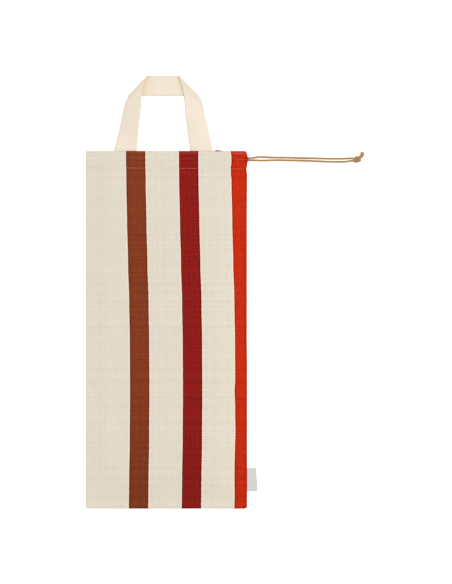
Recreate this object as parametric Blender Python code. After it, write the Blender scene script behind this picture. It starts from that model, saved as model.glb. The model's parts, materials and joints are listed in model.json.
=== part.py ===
"""Linen bread bag lying on its back: a striped bag with a stitched casing round its mouth, a webbing
handle turned over in two soft diagonal folds, a drawcord tied in a knot, and a bare side label.

Metres, +Z up. The bag lies on Z = 0 with its mouth and handle towards +Y and its cord towards +X.
The origin is under the middle of the bag, handle and label."""

import math

import bmesh
import bpy
from mathutils import Euler, Matrix, Vector

MM = 0.001

# Bag
BODY_WIDTH = 280 * MM
BODY_HEIGHT = 623 * MM
CLOTH = 1.0 * MM  # one layer
SEAM_ALLOWANCE = 12 * MM  # folded inwards, so the sewn edges are a band of four layers
FOLD_THICKNESS = 4.6 * MM  # over the soft fold down the left side
PUFF = 9.0 * MM  # height of the front sheet over the middle of the bag
PUFF_REACH = 42 * MM  # from an edge to the full height
CASING_SPREAD = 55 * MM  # below the mouth: from here up the right seam widens to the casing's end
CASING_SPREAD_RUN = 30 * MM
CORNER_RADIUS_LEFT = 3.0 * MM
CORNER_RADIUS_RIGHT = 4.4 * MM
EDGE_ROUNDING = 1.3 * MM

# Casing round the mouth
HEM_DEPTH = 30 * MM
HEM_LIFT = 0.2 * MM
HEM_STEP = 8 * MM  # the doubled cloth thickens over this distance
STITCH_GROOVE = 0.4 * MM
STITCH_GROOVE_WIDTH = 2.0 * MM
CORD_DEPTH = 14.5 * MM  # the cord's centre below the mouth
RIDGE_HEIGHT = 1.4 * MM  # raised by the cord in the casing
RIDGE_WIDTH = 3.6 * MM
CASING_END_THICKNESS = 11.0 * MM  # where both ends of the casing meet at the right seam
CASING_END_ACROSS = 14 * MM
CASING_END_ALONG = 8 * MM
CASING_MOUTH_DEPTH = 10 * MM
BACK_PEEK = 1.5 * MM  # the back sheet shows above the front one by this much
BACK_PEEK_CENTRE = 238 * MM
BACK_PEEK_HALF = 24 * MM
BACK_PEEK_RUN = 20 * MM  # below the mouth, over which the back sheet is drawn up

# Handle
WEBBING_THICKNESS = 2.0 * MM
HANDLE_RISE = 131 * MM
FOLD_RADIUS = 2.2 * MM  # of the webbing's middle at its diagonal folds
FOLD_STEPS = 6
CORNER_SHARPNESS = 0.62  # share of the folds' bulge that is left at their upper corners
ROW_STEPS = 3  # sections made from each row of the legs' tables
TOP_STEPS = 8
TOP_BOW = 1.4 * MM  # the middle of the top section lies this much above its ends
ACROSS_STEPS = 6
CUPPING = 1.2 * MM  # the middle of the legs stands this much above their borders

# Drawcord
CORD_DIAMETER = 4.0 * MM
EXIT_LOW = (-0.7 * MM, 3.3 * MM)  # the lower strand's centre in the casing: above the exit, and height
EXIT_HIGH = (1.4 * MM, 7.1 * MM)
TWIST_LENGTH = 16.5 * MM  # over which the cord's three plies go once round it
TWIST_STEPS = 8
PLIES = 3
PLY_SIDES = 4  # sides of the cord's section for each ply
PLY_GROOVE = 0.5 * MM
SAMPLES_PER_POINT = 12  # places measured between two points of a route
KNOT_CENTRE = (192.1, -0.3, 4.6)  # from the right seam, above the exit and up, in millimetres
KNOT_SIZE = (13.4 * MM, 12.6 * MM, 9.2 * MM)
KNOT_CORE = 0.88  # share of the knot's size that is solid under its turns
KNOT_LOOPS = 1.3  # size of the guide's loops against its middle
KNOT_TURN = math.radians(-45)  # sets one hollow of its outline towards the tails
KNOT_VOXEL = 0.7 * MM

# Side label
LABEL_LOW = 31.5 * MM
LABEL_WIDTH = 40 * MM
LABEL_REACH = 18.5 * MM
LABEL_TUCK = 4 * MM
LABEL_LAYER = 1.0 * MM
LABEL_GAP = 0.4 * MM
LABEL_MIDDLE = 2.5 * MM  # height of its middle in the seam
LABEL_LUMP = 1.0 * MM  # the seam is thicker where it holds the label
LABEL_LUMP_ACROSS = 18 * MM
LABEL_LUMP_ALONG = 24 * MM
LABEL_NARROWING = 2.5 * MM  # its upper end reaches this much less far

CLEARANCE = 0.3 * MM
CUTTER_REACH = 8 * MM  # how far a cutter stands out past the right seam

LINEN = ("linen", (0.76, 0.69, 0.58), 0.9)
WEBBING = ("cotton webbing", (0.88, 0.79, 0.65), 0.85)
CORD = ("jute-coloured cord", (0.45, 0.26, 0.12), 0.8)
TAPE = ("label tape", (0.68, 0.68, 0.64), 0.7)

# Distances up the bag and across it at which the cloth has a section, in millimetres.
ROWS = (
    EDGE_ROUNDING / MM, 5, 12, 18, 30, 50, 80, 120, 160, 182, 190, 195, 200, 208, 235, 280, 330,
    380, 430, 480, 520, 550, 565, 575, 583, 589, 593, 597, 602, 606, 608.5, 611, 615, 619, 622.4,
)
COLUMNS = (2.5, 7, 14, 24, 38, 60, 90, 112, 118, 124, 150, 180, 210, 230, 244, 256, 265, 271, 278.7)
INNER_ROWS = (
    13.3, 20, 30, 50, 80, 120, 160, 182, 190, 195, 200, 208, 235, 280, 330, 380, 430, 480, 520, 550,
    565, 575, 583, 589, 592.4, 593, 600, 608.5, 616, 622.4,
)
EDGE_STEPS = 5  # points between the back sheet and the front one round an edge

# The soft unevenness of the front sheet: ridges and troughs that run from one place to another.
FOLDS = [
    {"what": "old crease", "start": (-20, 196), "end": (300, 193), "half": 9, "height": -0.55},
    {"what": "slack above the crease", "start": (0, 232), "end": (90, 222), "half": 24, "height": 0.35},
    {"what": "slack below the crease", "start": (0, 160), "end": (60, 168), "half": 22, "height": -0.30},
    {"what": "pucker below the casing", "start": (118, 588), "end": (121, 510), "half": 7, "height": 0.40},
    {"what": "pull towards the cord", "start": (285, 585), "end": (205, 540), "half": 16, "height": 0.35},
    {"what": "fullness on the right", "start": (222, 480), "end": (228, 90), "half": 30, "height": 0.35},
]

# How far the right seam stands out or in, by the distance below the mouth.
RIGHT_EDGE = [
    {"depth": 0, "out": -1.9}, {"depth": 3.5, "out": -0.3}, {"depth": 8, "out": 0.9},
    {"depth": 14, "out": 1.6}, {"depth": 21, "out": 0.4}, {"depth": 28, "out": -0.5},
    {"depth": 31.5, "out": -1.1}, {"depth": 36, "out": -0.5}, {"depth": 44, "out": 0.2},
    {"depth": 60, "out": 0.0},
]

# The webbing's two borders up each leg: distance from the bag's left edge, rise above the mouth,
# and height of the webbing's middle, in millimetres. Its inner border stands up as it nears the fold.
LEFT_LEG = [
    {"at": "sewn end", "outer": (48.1, -21.7, 3.3), "inner": (86.4, -21.7, 3.3)},
    {"at": "mouth", "outer": (49.4, 1.0, 3.3), "inner": (88.3, 1.0, 3.6)},
    {"at": "low", "outer": (53.4, 19.2, 2.4), "inner": (89.9, 19.2, 7.0)},
    {"at": "middle", "outer": (58.6, 40.1, 2.0), "inner": (92.0, 40.1, 15.0)},
    {"at": "high", "outer": (62.7, 61.0, 2.8), "inner": (94.9, 63.6, 18.5)},
    {"at": "bend", "outer": (64.9, 71.4, 3.6), "inner": (96.9, 83.6, 18.0)},
    {"at": "shoulder", "outer": (67.3, 81.9, 4.4), "inner": (97.0, 102.7, 14.5)},
    {"at": "turn", "outer": (70.8, 87.8, 5.0), "inner": (99.8, 118.2, 7.9)},
    {"at": "fold", "outer": (73.2, 93.2, 5.4), "inner": (108.4, 129.4, 5.4)},
]
RIGHT_LEG = [
    {"at": "sewn end", "outer": (222.2, -21.7, 3.3), "inner": (183.5, -21.7, 3.3)},
    {"at": "mouth", "outer": (220.6, 1.0, 3.3), "inner": (181.7, 1.0, 3.4)},
    {"at": "low", "outer": (216.7, 19.2, 2.6), "inner": (178.9, 19.2, 4.6)},
    {"at": "middle", "outer": (212.2, 40.1, 2.0), "inner": (175.9, 40.1, 9.0)},
    {"at": "high", "outer": (207.2, 61.0, 2.8), "inner": (173.2, 63.6, 15.5)},
    {"at": "bend", "outer": (205.3, 71.4, 3.6), "inner": (171.3, 83.6, 17.5)},
    {"at": "shoulder", "outer": (202.8, 81.9, 4.4), "inner": (169.6, 102.7, 14.5)},
    {"at": "turn", "outer": (200.2, 88.6, 5.0), "inner": (166.5, 118.4, 8.6)},
    {"at": "fold", "outer": (197.1, 93.5, 5.4), "inner": (160.2, 129.3, 5.4)},
]

# The cord strands lie from the exit to the knot: distance from the right seam, rise above the exit
# and height, in millimetres.
UPPER_ROUTE = [
    (-9.4, 1.4, 7.1), (-3, 1.4, 7.1), (3.5, 1.4, 7.1), (7.5, 1.8, 6.8), (11.5, 2.8, 5.7), (16, 3.7, 4.0),
    (22, 4.0, 2.4), (30, 4.0, 2.0), (52, 3.3, 2.0), (73, 3.1, 2.0), (93, 2.4, 2.0), (114, 2.1, 2.0),
    (135, 1.5, 2.0), (156, 1.2, 2.0), (168, 1.4, 2.2), (177, 1.8, 3.0), (185.8, 1.9, 4.3),
]
LOWER_ROUTE = [
    (-9.4, -0.7, 3.3), (-3, -0.7, 3.3), (3.5, -0.7, 3.3), (7.5, -0.9, 2.9), (11.5, -1.3, 2.3),
    (16, -1.6, 2.0), (22, -1.9, 2.0), (30, -1.9, 2.0), (52, -1.4, 2.0), (73, -1.7, 2.0), (93, -2.2, 2.0),
    (114, -2.9, 2.0), (135, -3.8, 2.0), (156, -4.4, 2.0), (168, -4.2, 2.2), (177, -3.3, 3.0),
    (185.3, -2.5, 4.3),
]
NEAR_TAIL = [
    (197.5, 2.6, 3.6), (199.8, 4.7, 2.7), (201.8, 7.2, 2.1), (202.4, 9.4, 2.0), (201.6, 11.2, 2.0),
    (200.1, 12.1, 2.0),
]
FAR_TAIL = [
    (196.0, 4.5, 6.8), (198.0, 6.5, 6.7), (199.7, 8.3, 6.5), (200.2, 9.8, 6.4), (199.6, 11.2, 6.3),
    (198.4, 12.0, 6.2),
]


def smooth(value):
    """0 below 0, 1 above 1, and a smooth rise between."""
    value = min(max(value, 0.0), 1.0)
    return value * value * (3 - 2 * value)


def hump(distance, half_width):
    return math.exp(-((distance / half_width) ** 2))


def between(low, high, share):
    return low + (high - low) * share


def on_bag(across, up, height):
    """A place in the object's frame from the distances to the bag's left edge and bottom."""
    left = -(BODY_WIDTH + LABEL_REACH) / 2
    bottom = -(BODY_HEIGHT + HANDLE_RISE) / 2
    return Vector((left + across, bottom + up, height))


def curve_through(points, share):
    """A place on the smooth curve through the points, at a share of 0 to 1 along the list."""
    at = share * (len(points) - 1)
    i = min(int(at), len(points) - 2)
    t = at - i
    a, b, c, d = (Vector(points[min(max(i + k, 0), len(points) - 1)]) for k in (-1, 0, 1, 2))
    return 0.5 * (2 * b + (c - a) * t + (2 * a - 5 * b + 4 * c - d) * t**2 + (3 * b - a - 3 * c + d) * t**3)


def material(name, colour, roughness):
    made = bpy.data.materials.new(name)
    made.use_nodes = True
    shader = made.node_tree.nodes["Principled BSDF"]
    shader.inputs["Base Color"].default_value = (*colour, 1)
    shader.inputs["Roughness"].default_value = roughness
    shader.inputs["Metallic"].default_value = 0.0
    return made


def mesh_object(name, points, faces, finish):
    mesh = bpy.data.meshes.new(name)
    mesh.from_pydata([tuple(p) for p in points], [], faces)
    work = bmesh.new()
    work.from_mesh(mesh)
    bmesh.ops.recalc_face_normals(work, faces=work.faces)
    work.to_mesh(mesh)
    work.free()
    mesh.shade_smooth()
    mesh.set_sharp_from_angle(angle=math.radians(40))
    mesh.materials.append(finish)
    made = bpy.data.objects.new(name, mesh)
    bpy.context.collection.objects.link(made)
    return made


def bridge(faces, first, second):
    """Quads between two closed rings of point numbers."""
    for i in range(len(first)):
        j = (i + 1) % len(first)
        faces.append((first[i], first[j], second[j], second[i]))


def loft(faces, rings, size):
    """Quads between the rings that follow each other in the list of points, from its start."""
    for k in range(rings - 1):
        ring = list(range(k * size, (k + 1) * size))
        bridge(faces, ring, [number + size for number in ring])


# --- Bag cloth


def fold_lift(across, up):
    """How far the folds raise the front sheet at a place."""
    lift = 0.0
    for fold in FOLDS:
        start, end = (Vector(fold[key]) * MM for key in ("start", "end"))
        run = end - start
        place = Vector((across, up)) - start
        along = place.dot(run) / run.length_squared
        off = (place - run * min(max(along, 0.0), 1.0)).length
        lift += fold["height"] * MM * hump(off, fold["half"] * MM)
    return lift


def puffed(across, up):
    """1 over the middle of the bag, falling to 0 at its left fold and at its sewn edges."""
    depth = BODY_HEIGHT - up
    left = smooth(across / PUFF_REACH)
    bottom = smooth((up - SEAM_ALLOWANCE) / PUFF_REACH)
    right = smooth((BODY_WIDTH - SEAM_ALLOWANCE - across) / PUFF_REACH)
    at_casing = smooth((CASING_SPREAD - depth) / CASING_SPREAD_RUN)
    return left * bottom * between(right, 1.0, at_casing)


def ceiling(across, up):
    """Height of the front sheet's outer face, without the ridge that the cord makes."""
    depth = BODY_HEIGHT - up
    puff = puffed(across, up)
    edge = between(FOLD_THICKNESS, 4 * CLOTH, smooth(across / BODY_WIDTH))
    label = hump(BODY_WIDTH - across, LABEL_LUMP_ACROSS)
    label *= hump(up - LABEL_LOW - LABEL_WIDTH / 2, LABEL_LUMP_ALONG)
    doubled = smooth((HEM_DEPTH - depth) / HEM_STEP + 0.5)
    hem = doubled * (HEM_LIFT + 2 * CLOTH * (1 - smooth(across / PUFF_REACH)))
    groove = STITCH_GROOVE * hump(depth - HEM_DEPTH, STITCH_GROOVE_WIDTH)
    return between(edge, PUFF, puff) + LABEL_LUMP * label + hem - groove + puff * fold_lift(across, up)


def outside_height(across, up):
    depth = BODY_HEIGHT - up
    ridge = RIDGE_HEIGHT * hump(depth - CORD_DEPTH, RIDGE_WIDTH)
    at_end = hump(BODY_WIDTH - across, CASING_END_ACROSS) * hump(depth - CORD_DEPTH, CASING_END_ALONG)
    return between(ceiling(across, up) + ridge, CASING_END_THICKNESS, at_end)


def layers(up):
    """Thickness of one side of the bag: the casing is doubled."""
    return 2 * CLOTH if BODY_HEIGHT - up <= HEM_DEPTH else CLOTH


def corner_inset(up, radius):
    rise = min(up, radius)
    return radius - math.sqrt(radius**2 - (radius - rise) ** 2)


def left_edge(up):
    return corner_inset(up, CORNER_RADIUS_LEFT)


def right_edge(up):
    depth = (BODY_HEIGHT - up) / MM
    out = RIGHT_EDGE[-1]["out"]
    for low, high in zip(RIGHT_EDGE, RIGHT_EDGE[1:]):
        if depth < high["depth"]:
            share = (depth - low["depth"]) / (high["depth"] - low["depth"])
            out = between(low["out"], high["out"], smooth(share))
            break
    return BODY_WIDTH + out * MM - corner_inset(up, CORNER_RADIUS_RIGHT)


def drawn_up(across, up, side):
    """The back sheet's edge shows a little above the front one, so it is drawn up near the mouth."""
    near_mouth = smooth((up - BODY_HEIGHT) / BACK_PEEK_RUN + 1) if side == "back" else 0.0
    return BACK_PEEK * near_mouth * hump(across - BACK_PEEK_CENTRE, BACK_PEEK_HALF)


def seam_profile(step):
    """How far a sewn edge stands out, at a share of its height: two rounded edges, the seam between."""
    share = step / (EDGE_STEPS + 1)
    lips = abs(math.sin(2 * math.pi * share)) ** 0.5
    shape = max(lips, 0.35 * math.sin(math.pi * share))
    return EDGE_ROUNDING * shape, share


def fold_profile(step, depth):
    angle = math.pi * step / (EDGE_STEPS + 1)
    return depth * math.sin(angle), (1 - math.cos(angle)) / 2


def outer_point(column, up, side, step):
    """A point of the outside. side says which edge the point rounds, step how far round it is."""
    low, high = left_edge(up) + COLUMNS[0] * MM, right_edge(up) - EDGE_ROUNDING
    across = between(low, high, (column - COLUMNS[0]) / (COLUMNS[-1] - COLUMNS[0]))
    share = {"back": 0.0, "front": 1.0}.get(side)
    height = outside_height(across, up)
    rise = drawn_up(across, up, side)
    if side == "left":
        out, share = fold_profile(step, COLUMNS[0] * MM)
        across -= out
    if side == "right":
        out, share = seam_profile(step)
        across += out
    if side == "bottom":
        out, share = seam_profile(step)
        up -= out
    return on_bag(across, up + rise, share * height)


def inner_point(column, up, side, step):
    low = left_edge(up) + layers(up) + COLUMNS[0] * MM
    high = BODY_WIDTH - SEAM_ALLOWANCE - EDGE_ROUNDING
    across = between(low, high, (column - COLUMNS[0]) / (COLUMNS[-1] - COLUMNS[0]))
    share = {"back": 0.0, "front": 1.0}.get(side)
    bottom, top = layers(up), ceiling(across, up) - layers(up)
    rise = drawn_up(across, up, side)
    if share is None:
        out, share = fold_profile(step, EDGE_ROUNDING)
        across += {"left": -out, "right": out, "bottom": 0.0}[side]
        up -= out if side == "bottom" else 0.0
    return on_bag(across, up + rise, between(bottom, top, share))


def pouch(points, faces, rows, place):
    """Adds a tube of rings up the bag, closed at its lowest row, and returns its last ring."""
    steps = range(1, EDGE_STEPS + 1)
    last = len(COLUMNS) - 1
    rings = []
    for up in rows:
        ring = [place(c, up, "back", 0) for c in reversed(COLUMNS)]
        ring += [place(COLUMNS[0], up, "left", k) for k in steps]
        ring += [place(c, up, "front", 0) for c in COLUMNS]
        ring += [place(COLUMNS[-1], up, "right", EDGE_STEPS + 1 - k) for k in steps]
        rings.append(range(len(points), len(points) + len(ring)))
        points += ring
    for low, high in zip(rings, rings[1:]):
        bridge(faces, list(low), list(high))
    first = list(rings[0])
    back, left = first[: last + 1][::-1], first[last + 1 : last + 1 + EDGE_STEPS]
    front = first[last + 1 + EDGE_STEPS : 2 * last + 2 + EDGE_STEPS]
    right = first[2 * last + 2 + EDGE_STEPS :][::-1]
    strips = [[back[0], *left, front[0]]]
    for i in range(1, last):
        start = len(points)
        points += [place(COLUMNS[i], rows[0], "bottom", k) for k in steps]
        strips.append([back[i], *range(start, start + EDGE_STEPS), front[i]])
    strips.append([back[last], *right, front[last]])
    for one, other in zip(strips, strips[1:]):
        for k in range(EDGE_STEPS + 1):
            faces.append((one[k], one[k + 1], other[k + 1], other[k]))
    return list(rings[-1])


def cut(target, cutter):
    """Takes a closed shape out of the target."""
    cutter.hide_render = True
    cutter.display_type = "WIRE"
    boolean = target.modifiers.new(cutter.name, "BOOLEAN")
    boolean.operation = "DIFFERENCE"
    boolean.object = cutter


def casing_mouth_cutter():
    """The slot at the right end of the casing where both strands come out, one above the other."""
    radius = CORD_DIAMETER / 2 + CLEARANCE
    low, high = Vector(EXIT_LOW), Vector(EXIT_HIGH)
    outline = []
    for k in range(16):
        angle = 2 * math.pi * (k + 0.5) / 16
        ray = Vector((math.cos(angle), math.sin(angle)))
        outline.append((high if ray.dot(high - low) > 0 else low) + ray * radius)
    points = []
    for across in (BODY_WIDTH - CASING_MOUTH_DEPTH, BODY_WIDTH + CUTTER_REACH):
        points += [on_bag(across, BODY_HEIGHT - CORD_DEPTH + y, z) for y, z in outline]
    count = len(outline)
    faces = [tuple(range(count)), tuple(range(count, 2 * count))]
    loft(faces, 2, count)
    return mesh_object("casing mouth cutter", points, faces, material("cutter", (1, 0, 0), 0.5))


def label_slot_cutter():
    """The slit in the right seam that holds the label's tucked edge."""
    half = LABEL_LAYER + LABEL_GAP / 2 + CLEARANCE
    low = on_bag(BODY_WIDTH - LABEL_TUCK - CLEARANCE, LABEL_LOW - CLEARANCE, LABEL_MIDDLE - half)
    high = on_bag(BODY_WIDTH + CUTTER_REACH, LABEL_LOW + LABEL_WIDTH + CLEARANCE, LABEL_MIDDLE + half)
    points = [(x, y, z) for z in (low.z, high.z) for y in (low.y, high.y) for x in (low.x, high.x)]
    faces = [(0, 1, 3, 2), (4, 5, 7, 6), (0, 1, 5, 4), (2, 3, 7, 6), (0, 2, 6, 4), (1, 3, 7, 5)]
    return mesh_object("label slot cutter", points, faces, material("cutter", (1, 0, 0), 0.5))


def bag_cloth():
    points, faces = [], []
    outside = pouch(points, faces, [v * MM for v in ROWS], outer_point)
    inside = pouch(points, faces, [v * MM for v in INNER_ROWS], inner_point)
    edge = range(len(points), len(points) + len(outside))
    lift = Vector((0, BODY_HEIGHT - ROWS[-1] * MM, 0))
    points += [(points[a] + points[b]) / 2 + lift for a, b in zip(outside, inside)]
    bridge(faces, outside, list(edge))
    bridge(faces, list(edge), inside)
    cloth = mesh_object("bag_cloth", points, faces, material(*LINEN))
    cut(cloth, casing_mouth_cutter())
    cut(cloth, label_slot_cutter())


# --- Handle


def leg_sections(rows):
    """Pairs of border points up a leg, from its sewn end to its fold."""
    count = (len(rows) - 1) * ROW_STEPS
    pairs = []
    for k in range(count + 1):
        borders = []
        for key in ("outer", "inner"):
            across, rise, height = curve_through([row[key] for row in rows], k / count) * MM
            borders.append(on_bag(across, BODY_HEIGHT + rise, height))
        pairs.append(borders)
    return pairs


def fold_sections(outer, inner):
    """Pairs of border points round a diagonal fold, from the leg above to the webbing below it."""
    crease = (inner - outer).normalized()
    out = Vector((-crease.y, crease.x, 0))
    if out.y < 0:
        out = -out
    pairs = []
    for k in range(1, FOLD_STEPS + 1):
        angle = math.pi * k / FOLD_STEPS
        bulge = out * FOLD_RADIUS * math.sin(angle)
        drop = Vector((0, 0, FOLD_RADIUS * (1 - math.cos(angle))))
        pairs.append([outer + bulge - drop, inner + bulge * CORNER_SHARPNESS - drop])
    return pairs


def handle_sections():
    left, right = leg_sections(LEFT_LEG), leg_sections(RIGHT_LEG)
    down_left, down_right = fold_sections(*left[-1]), fold_sections(*right[-1])
    pairs = left + down_left
    for k in range(1, TOP_STEPS):
        share = k / TOP_STEPS
        bow = Vector((0, TOP_BOW * (1 - (2 * share - 1) ** 4), 0))
        pairs.append([a.lerp(b, share) + bow for a, b in zip(down_left[-1], down_right[-1])])
    return pairs + down_right[::-1] + right[::-1]


def handle_webbing():
    pairs = handle_sections()
    leg_count = (len(LEFT_LEG) - 1) * ROW_STEPS
    middle = []
    for i, (outer, inner) in enumerate(pairs):
        up_leg = min(i, len(pairs) - 1 - i) / leg_count
        cup = CUPPING * math.sin(math.pi * up_leg) if up_leg < 1 else 0.0
        row = []
        for k in range(ACROSS_STEPS + 1):
            share = k / ACROSS_STEPS
            row.append(outer.lerp(inner, share) + Vector((0, 0, cup * 4 * share * (1 - share))))
        middle.append(row)
    last = len(middle) - 1
    points = []
    for i, row in enumerate(middle):
        ring = {1: [], -1: []}
        for k, place in enumerate(row):
            along = middle[min(i + 1, last)][k] - middle[max(i - 1, 0)][k]
            across = row[min(k + 1, ACROSS_STEPS)] - row[max(k - 1, 0)]
            normal = along.cross(across).normalized() * WEBBING_THICKNESS / 2
            ring[1].append(place + normal)
            ring[-1].append(place - normal)
        points += ring[1] + ring[-1][::-1]
    count = 2 * (ACROSS_STEPS + 1)
    faces = []
    loft(faces, len(middle), count)
    for start in (0, last * count):
        for k in range(ACROSS_STEPS):
            faces.append((start + k, start + k + 1, start + count - 2 - k, start + count - 1 - k))
    mesh_object("handle_webbing", points, faces, material(*WEBBING))


# --- Drawcord


def at_exit(place):
    """A place in the object's frame from one given from the right seam and the cord's exit."""
    across, rise, height = (value * MM for value in place)
    return on_bag(BODY_WIDTH + across, BODY_HEIGHT - CORD_DEPTH + rise, height)


def even_places(route):
    """Places on the smooth curve through the route's points, evenly spaced, so that the twist is even."""
    count = SAMPLES_PER_POINT * (len(route) - 1)
    fine = [at_exit(curve_through(route, k / count)) for k in range(count + 1)]
    run = [0.0]
    for a, b in zip(fine, fine[1:]):
        run.append(run[-1] + (b - a).length)
    steps = round(run[-1] * TWIST_STEPS / TWIST_LENGTH)
    places, i = [], 0
    for k in range(steps + 1):
        target = run[-1] * k / steps
        while i < count - 1 and run[i + 1] < target:
            i += 1
        places.append(fine[i].lerp(fine[i + 1], (target - run[i]) / (run[i + 1] - run[i])))
    return places


def cord(name, route, finish):
    """A cord with flat ends along the route: its section has a lobe for each ply, and turns as it goes."""
    places = even_places(route)
    last = len(places) - 1
    sides = PLIES * PLY_SIDES
    points = []
    for i, place in enumerate(places):
        along = (places[min(i + 1, last)] - places[max(i - 1, 0)]).normalized()
        side = Vector((0, 0, 1)).cross(along).normalized()
        up = along.cross(side)
        for k in range(sides):
            angle = 2 * math.pi * k / sides
            radius = CORD_DIAMETER / 2 - PLY_GROOVE * (1 - math.cos(PLIES * angle)) / 2
            angle += 2 * math.pi * i / TWIST_STEPS
            points.append(place + (side * math.cos(angle) + up * math.sin(angle)) * radius)
    faces = [tuple(range(sides)), tuple(range(last * sides, (last + 1) * sides))]
    for start in range(0, last * sides, sides):
        for k in range(sides):
            a, b = start + k, start + (k + 1) % sides
            faces += [(a, b, a + sides), (b, b + sides, a + sides)]  # cut the short way, so none dips in
    mesh_object(name, points, faces, finish)


def knot(finish):
    """An overhand knot drawn tight: a thick trefoil round a core, pressed into its outline, in one skin."""
    count = 48
    line = bpy.data.curves.new("knot guide", "CURVE")
    line.dimensions = "3D"
    line.bevel_depth = 1.0
    line.bevel_resolution = 3
    spline = line.splines.new("POLY")
    spline.points.add(count - 1)
    spline.use_cyclic_u = True
    for k in range(count):
        a = 2 * math.pi * k / count
        x = math.sin(a) + KNOT_LOOPS * math.sin(2 * a)
        y = math.cos(a) - KNOT_LOOPS * math.cos(2 * a)
        place = Vector((x, y, math.sin(3 * a)))
        place.rotate(Euler((0, 0, KNOT_TURN)))
        spline.points[k].co = (*place, 1)
    guide = bpy.data.objects.new("knot guide", line)
    bpy.context.collection.objects.link(guide)
    bpy.context.view_layer.update()
    mesh = bpy.data.meshes.new_from_object(guide.evaluated_get(bpy.context.evaluated_depsgraph_get()))
    bpy.data.objects.remove(guide)
    corners = [[f(v.co[i] for v in mesh.vertices) for i in range(3)] for f in (min, max)]
    centre = at_exit(KNOT_CENTRE)
    for vertex in mesh.vertices:
        for i in range(3):
            share = (vertex.co[i] - corners[0][i]) / (corners[1][i] - corners[0][i])
            vertex.co[i] = centre[i] + (share - 0.5) * KNOT_SIZE[i]
    work = bmesh.new()
    work.from_mesh(mesh)
    core = Matrix.LocRotScale(centre, None, Vector(KNOT_SIZE) * KNOT_CORE / 2)
    bmesh.ops.create_icosphere(work, subdivisions=3, radius=1, matrix=core)
    work.to_mesh(mesh)
    work.free()
    mesh.materials.clear()
    mesh.materials.append(finish)
    made = bpy.data.objects.new("cord_knot", mesh)
    bpy.context.collection.objects.link(made)
    skin = made.modifiers.new("one skin", "REMESH")
    skin.mode = "VOXEL"
    skin.voxel_size = KNOT_VOXEL
    skin.use_smooth_shade = True
    fewer = made.modifiers.new("fewer faces", "DECIMATE")
    fewer.ratio = 0.4


def drawcord():
    finish = material(*CORD)
    cord("cord_strand_upper", UPPER_ROUTE, finish)
    cord("cord_strand_lower", LOWER_ROUTE, finish)
    cord("cord_tail_near", NEAR_TAIL, finish)
    cord("cord_tail_far", FAR_TAIL, finish)
    knot(finish)


# --- Side label


def label_outline(reach):
    """The label's section: two layers joined by a fold at the tip, from the seam down to the surface."""
    half, steps = LABEL_LAYER + LABEL_GAP / 2, 8

    def face(offset):
        places = []
        for k in range(steps + 1):
            share = k / steps
            middle = between(LABEL_MIDDLE, half, smooth(share * 1.25 - 0.15))
            places.append((between(-LABEL_TUCK, reach - half, share), middle + offset))
        return places

    turn = []
    for degrees in (34, 62, 90, 118, 146):
        angle = math.radians(degrees)
        turn.append((reach - half + half * math.sin(angle), half - half * math.cos(angle)))
    return face(-half) + turn + face(half)[::-1] + face(LABEL_GAP / 2) + face(-LABEL_GAP / 2)[::-1]


def side_label():
    sections = 4
    points = []
    for k in range(sections + 1):
        share = k / sections
        reach = LABEL_REACH - LABEL_NARROWING * share
        for across, height in label_outline(reach):
            points.append(on_bag(BODY_WIDTH + across, LABEL_LOW + LABEL_WIDTH * share, height))
    count = len(points) // (sections + 1)
    faces = [tuple(range(count)), tuple(range(sections * count, (sections + 1) * count))]
    loft(faces, sections + 1, count)
    mesh_object("side_label", points, faces, material(*TAPE))


def main():
    for thing in list(bpy.data.objects):
        bpy.data.objects.remove(thing)
    bag_cloth()
    handle_webbing()
    drawcord()
    side_label()


main()
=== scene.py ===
# Linen bread bag: striped linen with a stitched casing, a webbing handle turned over in two soft folds, a
# twisted cord with its knot, and a plain side label. Metres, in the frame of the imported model: +X right,
# +Y towards the handle, +Z up from the surface that the bag lies on.

import json
from math import cos, dist, exp, pi, radians, sin, sqrt, tau

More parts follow.
